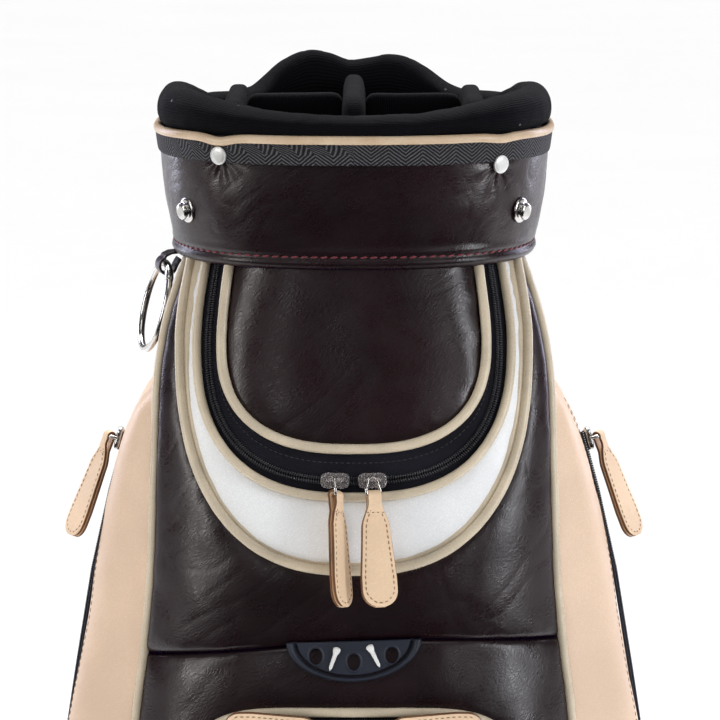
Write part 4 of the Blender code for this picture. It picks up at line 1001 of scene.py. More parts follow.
def make_crescent():
    """The pale leather between two U lines, a cord on each, and the outer cord's sewn tongue."""
    n = 340
    for name, shape, radius in (("inner", INNER_U, 2.8), ("outer", OUTER_U, 3.0)):
        cord = cord_on_front("crescent_cord_" + name, u_line(*shape, 789.0, n), radius, radius - 0.3)
        show(cord, "root", "piping_vinyl", "crescent_piping_" + name)
    xz, d_in, d_out = between(u_line(*INNER_U, 790.0, n, 0.3), u_line(*OUTER_U, 790.0, n, -0.3), 22)
    panel = leather_panel("crescent_leather", xz, d_in, d_out, 2.2, "white_leather", 51, 0.3)
    show(panel, "root", "white_leather", "white_crescent")
    tongue, inset, _ = between(u_line(*OUTER_U, 789.0, n, -5.4), u_line(*OUTER_U, 789.0, n, -1.0), 5)
    strip = surface("crescent_tongue", on_front(tongue, 1.6 - 1.2 * np.exp(-inset / 0.5)), "piping_vinyl",
                    out=(0, 0))
    show(strip, "root", "piping_vinyl")


def seam_z(x):
    """The seam between the two front pockets: it falls towards both ends, more on the left."""
    x = np.asarray(x, float)
    return SEAM_Z + 0.042 * x - 12.5 * np.minimum(np.abs(x) / 126, 1.1) ** 2 + 0.5 * np.sin(x / 31)


def make_front_panel():
    """The leather between the outer U and a border down both sides and along the pockets' seam."""
    n = 420
    z = np.linspace(790, float(seam_z(-126)), 150)
    left = np.stack([-(smooth(z, HALF_WIDTH) - 2.6), z], -1)
    z = np.linspace(float(seam_z(126)), 790, 150)
    right = np.stack([smooth(z, HALF_WIDTH) - 2.6, z], -1)
    x = np.linspace(left[-1, 0], right[0, 0], 120)[1:-1]
    border = resample(np.vstack([left, np.stack([x, seam_z(x) + 0.2], -1), right]), n)
    xz, d_in, d_out = between(u_line(*OUTER_U, 790.0, n, 0.3), border, 64)
    panel = leather_panel("front_leather", xz, d_in, d_out, 3.4, "brown_leather", 61, 0.75)
    show(panel, "root", "brown_leather", "front_panel")


def make_lower_pocket():
    """The lower pocket: a panel round a tall rounded door, its zip, the door and the cord between."""
    n = 480
    inner = door_line(-0.4, n)
    z = np.linspace(POCKET_FOOT - 1, float(seam_z(126)), 220)
    right = np.stack([smooth(z, HALF_WIDTH) - 2.6, z], -1)
    z = np.linspace(POCKET_FOOT - 1, float(seam_z(-126)), 220)
    left = np.stack([-(smooth(z, HALF_WIDTH) - 2.6), z], -1)
    x = np.linspace(right[-1, 0], left[-1, 0], 120)[1:-1]
    foot = np.stack([np.linspace(left[0, 0], right[0, 0], 100)[1:-1], np.full(98, POCKET_FOOT - 1)], -1)
    border = np.vstack([foot[49:], right, np.stack([x, seam_z(x) - 0.2], -1), left[::-1], foot[:49]])
    border = resample(border, n, True)
    xz, d_in, d_out = between(inner, border, 26)
    panel = leather_panel("lower_leather", xz, d_in, d_out, 2.4, "brown_leather", 71, 0.7, True)
    show(panel, "root", "brown_leather", "lower_panel")
    show(cord_on_front("lower_cord", door_line(0.0, 620), 2.9, 2.6, True), "root", "piping_vinyl",
         "lower_piping")
    xz, _, _ = between(door_line(10.6, n), door_line(1.6, n), 8)
    tape = surface("lower_tape", on_front(xz, 0.1), "tape", wrap_u=True, out=(0, 0))
    show(thicken(tape, 1.0), "lower_door", "black_woven", "lower_zip_tape")
    line = door_line(6.4, 1500)
    zip_rows("lower_teeth", np.vstack([line, line[:1]]), "lower_door", "lower_door", -1)
    door = disc_panel("door_leather", door_line(10.4, 360), np.array([0.0, 316.0]), 62, 3.0, 81, 0.5)
    show(door, "lower_door", "brown_leather", "lower_door")
    edge = door_line(14.0, 700)
    rows = stitches("door_stitches", on_front(edge, 1.9), front_normal(edge[:, 0], edge[:, 1]), "dark_thread",
                    4.2, 2.9, 0.4, True)
    show(rows, "lower_door", "brown_leather")


HOLES = ((-23.0, 550.8), (0.0, 547.6), (23.0, 551.6))


def make_tee_holder():
    """A rubber half oval with a rounded lip, a groove inside it and three oval sockets, and two
    plain tapered pegs that lie on it."""
    cols, rows = 260, 90
    x = np.linspace(-1, 1, cols)[None]
    t = np.linspace(0, 1, rows)[:, None]
    half = 41.0 * np.sqrt(np.maximum(1 - (1 - t) ** 2.1, 0)) ** 0.9
    px = x * half
    pz = 560.2 - 24.8 * (1 - t) + 0 * x
    px, pz = np.broadcast_arrays(px, pz)
    inside = 1 - ((px / 41.0) ** 2 + ((560.4 - pz) / 24.8) ** 2) ** 0.5
    d = np.clip(inside * 27, 0, 30)
    pz = pz + 0.03 * px
    lip = 5.6 * np.sqrt(np.clip(1 - (1 - d / 1.7) ** 2, 0, 1)) * step(5.2, 3.6, d) + 3.4 * step(3.2, 5.0, d)
    lip = np.where(d < 1.7, 5.6 * np.sqrt(np.clip(1 - (1 - d / 1.7) ** 2, 0, 1)), lip)
    top = np.clip(560.4 + 0.03 * px - pz, 0, 5)
    lip = lip * np.sqrt(np.clip(1 - (1 - np.clip(top / 1.2, 0, 1)) ** 2, 0.05, 1))
    for hx, hz in HOLES:
        q = np.sqrt(((px - hx) / 3.7) ** 2 + ((pz - hz) / 4.7) ** 2)
        lip = lip + 0.7 * np.exp(-((q - 1.18) / 0.14) ** 2) - 9.0 * step(1.04, 0.86, q)
    p = on_front(np.stack([px, pz], -1), lip)
    plate = surface("tee_plate", p, "black_rubber", out=(0, 0))
    show(plate, "root", "black_rubber", "tee_holder")
    for i, ((x0, z0), (x1, z1)) in enumerate((((-9.6, 556.6), (-14.6, 542.6)),
                                              ((9.0, 558.0), (15.8, 544.6)))):
        t = np.linspace(0, 1, 30)
        head = np.interp(t, [0, 0.04, 0.1, 0.2, 0.34, 0.6, 0.9, 1.0],
                         [0.15, 2.0, 2.35, 2.1, 1.35, 1.2, 1.0, 0.15])
        xz = np.array([x0, z0]) * (1 - t[:, None]) + np.array([x1, z1]) * t[:, None]
        path, out = on_front(xz, 4.1), front_normal(xz[:, 0], xz[:, 1])
        peg = sweep("peg_%d" % (i + 1), path, ring(1.0, 14, 2.2, 0.62), "tee_white", False, out, head)
        show(peg, "root", "white_leather")


# ---- sliders and pulls ---------------------------------------------------------------------
def matrix_of(x, y, z, origin):
    """A 4 by 4 matrix from three directions and a place."""
    m = np.eye(4)
    for k, column in enumerate((x, y, z)):
        m[:3, k] = unit(np.array(column, float))
    m[:3, 3] = origin
    return m


def shifted(m, y=0.0, z=0.0):
    """The matrix moved along its own y and z."""
    return m @ np.array(Matrix.Translation((0.0, y, z)))


def twisted(m, degrees, axis):
    """The matrix turned about one of its own axes."""
    return m @ np.array(Matrix.Rotation(math.radians(degrees), 4, axis))


def pull_width(z, neck, broad, length):
    """How wide a pull is z below its eye: from the neck by a smoothstep to the blade, which widens
    slowly and ends in a rounded tip."""
    grow = np.clip((z - 4.0) / 16.0, 0, 1)
    width = neck + (broad * 0.78 - neck) * grow * grow * (3 - 2 * grow)
    width = width + broad * 0.22 * np.clip((z - 20) / 30, 0, 1)
    end = np.maximum(0, z - (length - 11.0)) / 11.0
    return width * np.sqrt(np.maximum(0, 1 - np.minimum(end, 0.985) ** 2.4))


def make_pull(name, body, node, matrix, neck, broad=22.0, length=68.0, seed=0):
    """A folded leather pull: a strap that comes up one side, turns round its eye and goes down the
    other, with stitches inside its edge and a double row of them under the eye."""
    s = np.linspace(length - 0.4, 5.0, 60)
    a = np.radians(np.linspace(-30, 210, 26))
    y = np.concatenate([np.full(60, 1.22), 2.5 * np.cos(a), np.full(60, -1.22)])
    z = np.concatenate([-s, 2.5 * np.sin(a), -s[::-1]])
    ease = step(4.5, 11.0, -z)
    y = np.where(z < -2, np.sign(y) * (2.2 * (1 - ease) + 1.2 * ease), y)
    path = np.stack([0 * y, y, z], -1)
    width = np.where(z > -4, neck, pull_width(-z, neck, broad, length))
    along = unit(np.gradient(path, axis=0))
    out = np.stack([0 * y, along[:, 2], -along[:, 1]], -1)
    section = superellipse(1.0, 1.0, 7.0, TAU * np.arange(28) / 28)
    thick = 0.92 + 0.05 * noise(path, 6, seed)
    p = (path[:, None] + np.array([1.0, 0, 0]) * (section[None, :, :1] * width[:, None, None] / 2)
         + out[:, None] * (section[None, :, 1:] * thick[:, None, None]))
    p[..., 1] += noise(p, 13, seed + 2) * 0.22
    obj = surface(name + "_strap", place(p, matrix), "pull_leather", wrap_u=True, ends=True)
    rim = np.abs(section[:, 0]) > 0.97
    obj.data.materials.append(Looks.of["pull_edge"])
    cols = len(section)
    index = np.zeros(len(obj.data.polygons), np.int32)
    quads = (len(path) - 1) * cols
    edge = np.tile((rim & np.roll(rim, -1)), len(path) - 1).astype(np.int32)
    if len(index) >= quads * 2:
        index[:quads], index[quads:quads * 2] = edge, edge
    obj.data.polygons.foreach_set("material_index", index)
    show(obj, body, "pull_leather", node)
    down = np.linspace(9.0, length - 2.6, 200)
    half = np.maximum(pull_width(down, neck, broad, length) / 2 - 2.3, 0.0)
    tip = np.sqrt(np.maximum(0, 1 - ((down - length + 13) / 10.6) ** 2)) * (broad / 2 - 2.3)
    half = np.where(down > length - 8, np.minimum(half, tip), half)
    line = np.vstack([np.stack([half, 0 * half, -down], -1),
                      np.stack([-half[::-1], 0 * half, -down[::-1]], -1)])
    for side, label in ((1, "front"), (-1, "back")):
        path = place(line + [0, side * 2.14, 0], matrix)
        face = np.array(matrix)[:3, 1] * side
        show(stitches("%s_stitches_%s" % (name, label), path, face, "tan_thread", 3.3, 2.3, 0.36), body,
             "pull_leather")
        for k, depth in enumerate((8.2, 10.6)):
            w = pull_width(depth, neck, broad, length) / 2 - 1.2
            bar = np.stack([np.linspace(-w, w, 30), np.full(30, side * 2.2), np.full(30, -depth)], -1)
            show(stitches("%s_bar_%s_%d" % (name, label, k), place(bar, matrix), face, "tan_thread", 2.1, 1.5,
                          0.32),
                 body, "pull_leather")


def wire(name, points, radius, matrix, finish, body, slot, closed=False, *nodes):
    """A round wire through the points, which are given in the matrix's own frame."""
    path = place(resample(np.array(points, float), max(24, len(points) * 4), closed), matrix)
    return show(sweep(name, path, ring(radius, 12), finish, closed), body, slot, *nodes)


def make_slider(name, body, matrix, bar, finish, slot, wide):
    """A zip slider: a rounded block with a waist and a groove along it, and a staple over it."""
    half_x, half_z = (8.9, 5.1) if wide else (4.8, 7.4)
    v = np.linspace(-np.pi / 2 + 0.08, np.pi / 2 - 0.08, 28)[:, None]
    u = TAU * np.arange(48)[None] / 48
    cv, sv = np.cos(v) ** 0.42, np.sign(np.sin(v)) * np.abs(np.sin(v)) ** 0.55
    cu = np.sign(np.cos(u)) * np.abs(np.cos(u)) ** 0.6
    su = np.sign(np.sin(u)) * np.abs(np.sin(u)) ** 0.6
    x, z, y = cv * cu * half_x, cv * su * half_z, 3.2 + 2.35 * sv + 0 * u
    if wide:
        z = z * (1 - 0.1 * np.exp(-(x / 3.2) ** 2))
        y = y - 0.5 * np.exp(-(z / 1.3) ** 2) * (sv > 0)
    else:
        x = x * (1 + 0.2 * np.tanh(z / 4)) * (1 - 0.14 * np.exp(-(z / 2.4) ** 2))
    block = surface(name + "_block", place(np.stack(np.broadcast_arrays(x, y, z), -1), matrix), finish,
                    wrap_u=True, ends=True)
    show(block, body, slot, name)
    points = [(-4.6, 3.6, 0), (-4.6, bar - 1.6, 0), (-4.2, bar - 0.4, 0), (-3.3, bar, 0), (3.3, bar, 0),
              (4.2, bar - 0.4, 0), (4.6, bar - 1.6, 0), (4.6, 3.6, 0)]
    wire(name + "_staple", points, 1.0, matrix, finish, body, slot)


def make_front_pulls():
    """Clear sliders on the upper zip, each with a wire link and a pull that hangs turned on it, and
    metal sliders with their pulls on the lower zip."""
    for name, side, yaw in (("left", -1, 90), ("right", 1, 42)):
        spot, out = (side * 11.35, -140.08, 655.62), np.array([side * 0.0063, -0.969, 0.2471])
        x = np.array([0.9996, side * 0.0129, side * 0.025])
        x = x - out * np.dot(x, out)
        m = matrix_of(x, out, np.cross(x, out), spot)
        make_slider("upper_slider_" + name, "upper_slider_" + name, m, 12.5, "clear_plastic", "clear_plastic",
                    True)
        hang = np.array(Matrix.Translation((side * 11.42, -152.19, 658.71)))
        hang = twisted(twisted(twisted(hang, -22, "X"), -3.5, "Y"), yaw, "Z")
        link = [(-5.6, 0, -8.6), (-5.7, 0, -6.2)]
        a = np.radians(np.linspace(180, 0, 12))
        link += [(5.9 * math.cos(b) * 0.72, 0, -2.1 + 4.0 * math.sin(b)) for b in a]
        link += [(5.7, 0, -6.2), (5.6, 0, -8.6), (4.6, 0, -9.6), (-4.6, 0, -9.6)]
        wire("upper_wire_" + name, link, 0.95, hang, "polished_steel", "upper_pull_" + name, "polished_steel",
             True,
             "upper_link_" + name)
        face = twisted(shifted(hang, z=-9.6), -28, "Z")
        make_pull("upper_" + name, "upper_pull_" + name, "upper_pull_" + name, face, 8.4, 22.0, 68.0,
                  3 * side)
    for name, side in (("left", -1), ("right", 1)):
        m = matrix_of((0, 0, -side), (side * 0.0048, -1, 0), (-side, -0.0048, 0),
                      (side * 11.0, -168.51, 508.6))
        make_slider("lower_slider_" + name, "lower_slider_" + name, m, 9.5, "polished_steel",
                    "polished_steel", False)
        make_pull("lower_" + name, "lower_pull_" + name, "lower_pull_" + name, shifted(m, y=9.5), 6.0, 25.0,
                  68.0, 20 * side)


def make_side_pulls():
    """A metal slider at the head of each side zip, and its pull."""
    for name, side in (("left", -1), ("right", 1)):
        m = matrix_of((-0.0695, -side * 0.9873, side * 0.1428), (side * 0.9694, -0.0331, 0.2431),
                      (-side * 0.2353, 0.1553, 0.9594), (side * 146.22, -35.47, 660.65))
        make_slider("side_slider_" + name, "side_slider_" + name, m, 9.5, "polished_steel", "polished_steel",
                    False)
        hang = twisted(twisted(shifted(m, y=9.5), 7, "X"), -30 * side, "Z")
        make_pull("side_" + name, "side_pull_" + name, "side_pull_" + name, hang, 6.0, 22.0, 68.0, 30 * side)


# ---- sides, back and base ------------------------------------------------------------------
def rounded_rows(corners, radius, steps=8):
    """Lines through the same corners row by row, each inner corner turned into a curve: an array
    of rows by corners by 2 becomes rows by points by 2."""
    made = [corners[:, 0]]
    for k in range(1, corners.shape[1] - 1):
        before, corner, after = corners[:, k - 1], corners[:, k], corners[:, k + 1]
        back = np.minimum(radius, np.linalg.norm(before - corner, axis=-1) * 0.48)[:, None]
        ahead = np.minimum(radius, np.linalg.norm(after - corner, axis=-1) * 0.48)[:, None]
        start, end = corner + unit(before - corner) * back, corner + unit(after - corner) * ahead
        for t in np.linspace(0, 1, steps + 1):
            made.append(start * (1 - t) ** 2 + corner * 2 * t * (1 - t) + end * t * t)
    made.append(corners[:, -1])
    return np.stack(made, 1)


def pocket_grid(z, cols):
    """The right side pocket's outer face: at each height a line from the side seam out round the
    pocket to the back, pressed flat against the skin at both tips."""
    edge, width, reach = smooth(z, EDGE_DEPTH), smooth(z, HALF_WIDTH), smooth(z, SIDE_REACH)
    one = np.ones_like(z)
    start, end = np.stack([width + 0.5, -edge + 4.0], -1), np.stack([88.0 * one, 74.0 * one], -1)
    corners = np.stack([start, np.stack([reach, -edge + 4.0 + 0.85 * (reach - width)], -1),
                        np.stack([reach + 1.0, 46.0 * one], -1), np.stack([120.0 * one, 88.0 * one], -1),
                        end], 1)
    full = rounded_rows(corners, 20.0)
    skin = superellipse(108.0, 104.5, 2.4, np.radians(-2 + 48 * np.arange(13) / 12))
    flat = np.concatenate([start[:, None], np.broadcast_to([109.0, -22.0], (len(z), 1, 2)),
                           np.broadcast_to(skin, (len(z), 13, 2)), end[:, None]], 1)
    top, foot = np.clip((702.0 - z) / 44.0, 0, 1), np.clip((z - 104.0) / 36.0, 0, 1)
    swell = (np.sqrt(1 - (1 - top) ** 2) ** 0.9 * np.sqrt(1 - (1 - foot) ** 2))[:, None]
    rows = []
    for i in range(len(z)):
        rows.append(resample(flat[i], cols) * (1 - swell[i]) + resample(full[i], cols) * swell[i])
    return np.concatenate([np.array(rows), np.broadcast_to(z[:, None, None], (len(z), cols, 1))], -1)


def pocket_heights(rows):
    """Heights up a side pocket: an even share less a sine of it, so rows lie closer at both tips."""
    share = np.arange(rows + 1) / rows
    return 104.0 + 598.0 * (share - np.sin(TAU * share) / 9)


def zip_path(count, lift):
    """The side zip's line: column 3 of 11 of the coarse pocket grid, moved out by lift."""
    z = pocket_heights(13)
    grid = pocket_grid(z, 12)
    n = grid_normals(grid)
    n = np.where((n[..., :1] < 0) & (np.abs(n[..., :1]) > 0.3), -n, n)
    keep = slice(2, 12)
    middle, out = grid[keep, 3], n[keep, 3]
    line = np.hstack([middle + out * lift, out])
    t = np.linspace(0, len(line) - 1, count)
    k = np.minimum(t.astype(int), len(line) - 2)
    f = (t - k)[:, None]
    line = line[k] * (1 - f) + line[k + 1] * f
    return line[:, :3], unit(line[:, 3:])


def make_side(side):
    """A side pocket with its zip, its rows of stitches and the cord of its front seam."""
    name = "right" if side > 0 else "left"
    mirror = np.array([side, 1, 1])
    z = np.interp(np.linspace(0, 1, 150), np.linspace(0, 1, 61), pocket_heights(60))
    grid = pocket_grid(z, 120)
    n = grid_normals(grid)
    if n[75, 40, 0] < 0:
        n = -n
    width = np.linalg.norm(np.diff(grid, axis=1), axis=-1).cumsum(1)
    along = np.concatenate([np.zeros((len(z), 1)), width], 1)
    d_in, d_out = along, along[:, -1:] - along
    share = np.linspace(0, 1, 120)[None]
    valley = np.exp(-((share - 3 / 11) / 0.05) ** 2)
    soft = noise(grid, 70, 91 + side) * 2.4 + noise(grid, 28, 92 + side) * 0.9 + noise(grid, 12, 93) * 0.22
    tips = step(104, 122, grid[..., 2]) * step(702, 684, grid[..., 2])
    lift = (1.8 + soft) * (1 - np.exp(-d_in / 9)) * (1 - np.exp(-d_out / 9)) * tips * (1 - 0.85 * valley)
    p = grid + n * lift[..., None]
    pocket = thicken(surface("side_pocket_cover_" + name, p * mirror, "beige_leather", out=(0, 0)), 2.0)
    show(pocket, "root", "beige_leather", "side_pocket_" + name)
    path, out = zip_path(260, 2.3)
    section = np.linspace(-9.6, 9.6, 9)
    across = unit(np.cross(out, unit(np.gradient(path, axis=0))))
    tuck = (np.abs(section) > 9)[None, :, None] * 0.6
    tape = path[:, None] + across[:, None] * section[None, :, None] - out[:, None] * tuck
    tape = surface("side_tape_" + name, np.swapaxes(tape, 0, 1) * mirror, "tape", out=(0, 0))
    show(thicken(tape, 1.0), "root", "black_woven", "side_zip_tape_" + name)
    for row, way in (("a", -1), ("b", 1)):
        show(teeth("side_teeth_%s_%s" % (name, row), path * mirror, out * mirror, "coil", way * COIL_SHIFT,
                   way),
             "root", "black_woven")
    for k, aside in enumerate((-15.5, 15.5)):
        column = int(round((3 / 11) * 119 + aside / 22.7 / 11 * 119))
        rows = slice(16, 136)
        line, up = p[rows, column] + n[rows, column] * 0.15, n[rows, column]
        show(stitches("side_stitches_%s_%d" % (name, k), line * mirror, up * mirror, "tan_thread", 4.4, 2.9,
                      0.42),
             "root", "beige_leather")
    zz = np.linspace(778.0, 99.0, 420)
    seam = np.stack([smooth(zz, HALF_WIDTH) - 1.4, -smooth(zz, EDGE_DEPTH) - 2.2, zz], -1)
    seam = seam + (noise(seam, 26, 95) * 0.4)[:, None] * np.array([1, -0.4, 0])
    face = unit(np.stack([0 * zz + 0.75, 0 * zz - 0.66, 0 * zz], -1))
    cord = sweep("side_cord_" + name, seam * mirror, ring(2.9, 14, 2.2), "piping_vinyl", False, face * mirror)
    show(cord, "root", "piping_vinyl", "side_piping_" + name)


def make_back():
    """The leather skin round the sides and back, with stitched seams at the back."""
    z = np.linspace(90.0, 788.0, 150)
    cols = 110
    rows = []
    edge, width = smooth(z, EDGE_DEPTH), smooth(z, HALF_WIDTH)
    ellipse = superellipse(BACK_HALF, BACK_DEPTH, BACK_POWER, np.radians(-6 + 96 * np.arange(61) / 60))
    ellipse[-1, 0] = 0
    for e, w in zip(edge, width):
        start = np.array([w - 3.0, -e + 2.4])
        reach = ellipse[0] - start
        rows.append(resample(np.vstack([start, start + reach * 0.35, start + reach * 0.7, ellipse]), cols))
    right = np.array(rows)
    line = np.concatenate([right, right[:, -2::-1] * [-1, 1]], 1)
    p = np.concatenate([line, np.broadcast_to(z[:, None, None], line.shape[:2] + (1,))], -1)
    n = grid_normals(p)
    if n[70, cols, 1] < 0:
        n = -n
    seam = np.abs(np.abs(p[..., 0]) - 66) * (p[..., 1] > 0) + 99 * (p[..., 1] <= 0)
    lift = noise(p, 60, 101) * 0.8 + noise(p, 18, 102) * 0.35 - creases(p, 9, 103) * 0.35
    lift = lift * step(0, 5, seam) - 0.9 * np.exp(-(seam / 1.2) ** 2) + 0.5
    skin = surface("body_leather", p + n * lift[..., None], "brown_leather", out=(0, 0))
    show(thicken(skin, 1.8), "root", "brown_leather", "body_skin")
    for side in (-1, 1):
        for k, off in enumerate((62.5, 69.5)):
            zz = np.linspace(106, 774, 300)
            y = back_y(off)
            line = np.stack([0 * zz + side * off, 0 * zz + y + 0.75, zz], -1)
            up = unit(np.array([side * (off / BACK_HALF) ** 1.4 / BACK_HALF,
                                (y / BACK_DEPTH) ** 1.4 / BACK_DEPTH, 0]))
            rows = stitches("back_stitches_%d_%d" % (side + 2, k), line, up, "dark_thread", 4.6, 3.2, 0.45)
            show(rows, "root", "brown_leather")


def back_y(x):
    """How far behind the middle the back's superellipse lies at x."""
    return BACK_DEPTH * (1 - (np.abs(x) / BACK_HALF) ** BACK_POWER) ** (1 / BACK_POWER)


def make_handle(sizes):
    """A round padded carry handle with a stitched seam and leather collars at both ends."""
    near, far = back_y(14.0) + 0.7, back_y(14.0) + 40.0
    corners = np.array([[[-14, near, 735], [-14, far, 735], [-14, far, 565], [-14, near, 565]]], float)
    line = rounded_rows(corners[..., 1:], 34.0, 16)[0]
    path = resample(np.stack([np.full(len(line), -14.0), line[:, 0], line[:, 1]], -1), 160)
    t = np.linspace(0, 1, 160)
    collars = np.exp(-((t - 0.02) / 0.02) ** 2) + np.exp(-((t - 0.98) / 0.02) ** 2)
    size = 0.9 + 0.1 * step(0.1, 0.3, t) * step(0.9, 0.7, t) + 0.12 * collars
    size = size + noise(path, 14, 111) * 0.03
    grip = sweep("handle_grip", path, ring(mm(sizes.handle_width) / 2, 40, 2.3), "brown_leather", False, None,
                 size)
    show(grip, "root", "brown_leather", "carry_handle", fill=0.9)
    side, _ = path_frames(path, False)
    seam = (path + side * 8.7)[16:-16]
    show(stitches("handle_stitches", seam, side[16:-16], "dark_thread", 4.2, 3.0, 0.5), "root",
         "brown_leather")


def make_strap():
    """A padded shoulder strap between two metal loops: thick in the middle, flat at its stitched
    ends, its edges rounded and its face quilted lengthways."""
    y0 = float(back_y(42.0)) + 10.5
    n = 150
    t = np.linspace(0, 1, n)
    line = np.stack([0 * t + 42.0, y0 + 44 * np.sin(np.pi * t) ** 1.4, 742 + (300 - 742) * t], -1)
    thick = 3.0 + 2.4 * np.exp(-((t - 0.5) / 0.25) ** 4)
    along = unit(np.gradient(line, axis=0))
    out = unit(np.stack([0 * t, -along[:, 2], along[:, 1]], -1))
    a = TAU * np.arange(64) / 64
    section = superellipse(19.0, 1.0, 5.0, a)
    groove = 1 - 0.26 * np.exp(-((np.abs(section[:, 0]) - 14.5) / 1.3) ** 2)
    ends = np.sqrt(np.clip(1 - (np.abs(t - 0.5) * 2) ** 60, 0.05, 1))
    p = (line[:, None] + np.array([1.0, 0, 0]) * section[None, :, :1]
         + out[:, None] * (section[:, 1] * groove)[None, :, None] * (thick * ends)[:, None, None])
    p = p + out[:, None] * (noise(p, 30, 121) * 0.7 - creases(p, 12, 122, 0, 1.5) * 0.3)[..., None]
    strap = surface("strap_pad", p, "brown_leather", wrap_u=True, ends=True)
    show(strap, "root", "brown_leather", "shoulder_strap", fill=0.7)
    for x in (-14.5, 14.5):
        row = line + np.array([x, 0, 0]) + out * (thick * 0.8)[:, None]
        rows = stitches("strap_stitches_%d" % (x > 0), row[6:-6], out[6:-6], "tan_thread", 4.6, 3.2, 0.5)
        show(rows, "root", "brown_leather")
    for name, z in (("upper", 742.0), ("lower", 300.0)):
        left, right = 20.0, 64.0
        pts = np.array([(left, back_y(left) + 0.2, z), (left, y0 - 2, z), (left + 2, y0, z),
                        (right - 2, y0, z),
                        (right, y0 - 2, z), (right, back_y(right) + 0.2, z)])
        show(sweep("strap_bar_" + name, resample(pts, 80), ring(1.8, 14), "polished_steel"), "root",
             "polished_steel",
             "strap_loop_" + name)
        a = np.linspace(0, TAU, 40, endpoint=False)
        eye = np.stack([0 * a + 42.0, y0 + 3.5 * np.cos(a), z + 3.5 * np.sin(a)], -1)
        fold = sweep("strap_eye_" + name, eye, superellipse(18.6, 1.0, 6, TAU * np.arange(28) / 28),
                     "brown_leather", True,
                     unit(eye - [42.0, y0, z]))
        show(fold, "root", "brown_leather")


def make_base():
    """The moulded tray: ribs run up its foot and a lip stands round its head."""
    profile = [(-97, 0.4), (-40, 0.2), (0, 0.2), (12.5, 0.3), (15, 0.0), (16.6, 0.8), (17.8, 2.4), (18, 4),
               (18, 12), (17.4, 15),
               (15.6, 21), (13, 30), (10, 46), (8, 60), (7.2, 76), (8.2, 78), (8.4, 81), (7.6, 84.4),
               (6.6, 86), (4.6, 86.6),
               (2.2, 86.2), (1.6, 84), (1.5, 40), (1.5, 9), (-20, 9), (-97, 9)]
    line = resample(np.array(profile, float), 150)
    a = TAU * np.arange(360) / 360
    grow, z = line[:, :1], line[:, 1:]
    rib = 0.8 * (np.cos(a * 60)[None] > 0.55) * step(17, 22, z) * step(74, 68, z) * (grow > 5)
    grow = grow + rib
    c, s = np.cos(a), np.sin(a)
    p = np.stack(np.broadcast_arrays(np.sign(c) * np.abs(c) ** (1 / 1.2) * np.maximum(98 + grow, 0.3),
                                     np.sign(s) * np.abs(s) ** (1 / 1.2) * np.maximum(94 + grow, 0.3), z), -1)
    show(surface("base_cover", p, "black_rubber", wrap_u=True, ends=True), "root", "black_rubber",
         "base_tray")


def finish_frame():
    """The nodes that stay in sight take a finish with grain: moulded parts and woven ones."""
    for node in ("club_tube", "top_frame", "divider_wall_left", "divider_wall_centre", "divider_wall_right",
                 "pocket_shelf", "pocket_floor"):
        finish = "black_plastic" if node in ("club_tube", "top_frame") else "woven_lining"
        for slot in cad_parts[node].material_slots:
            slot.material = Looks.of[finish]


def flat_sheet(name, x, front, back, z, finish):
    """A level rectangle on the stage, in metres."""
    corners = np.array([[-x, front, z], [x, front, z], [x, back, z], [-x, back, z]]) / MM
    sheet = make_mesh(name, corners, np.array([[0, 1, 2, 3]]), finish, None, (0, 0, -1000.0))
    return sheet


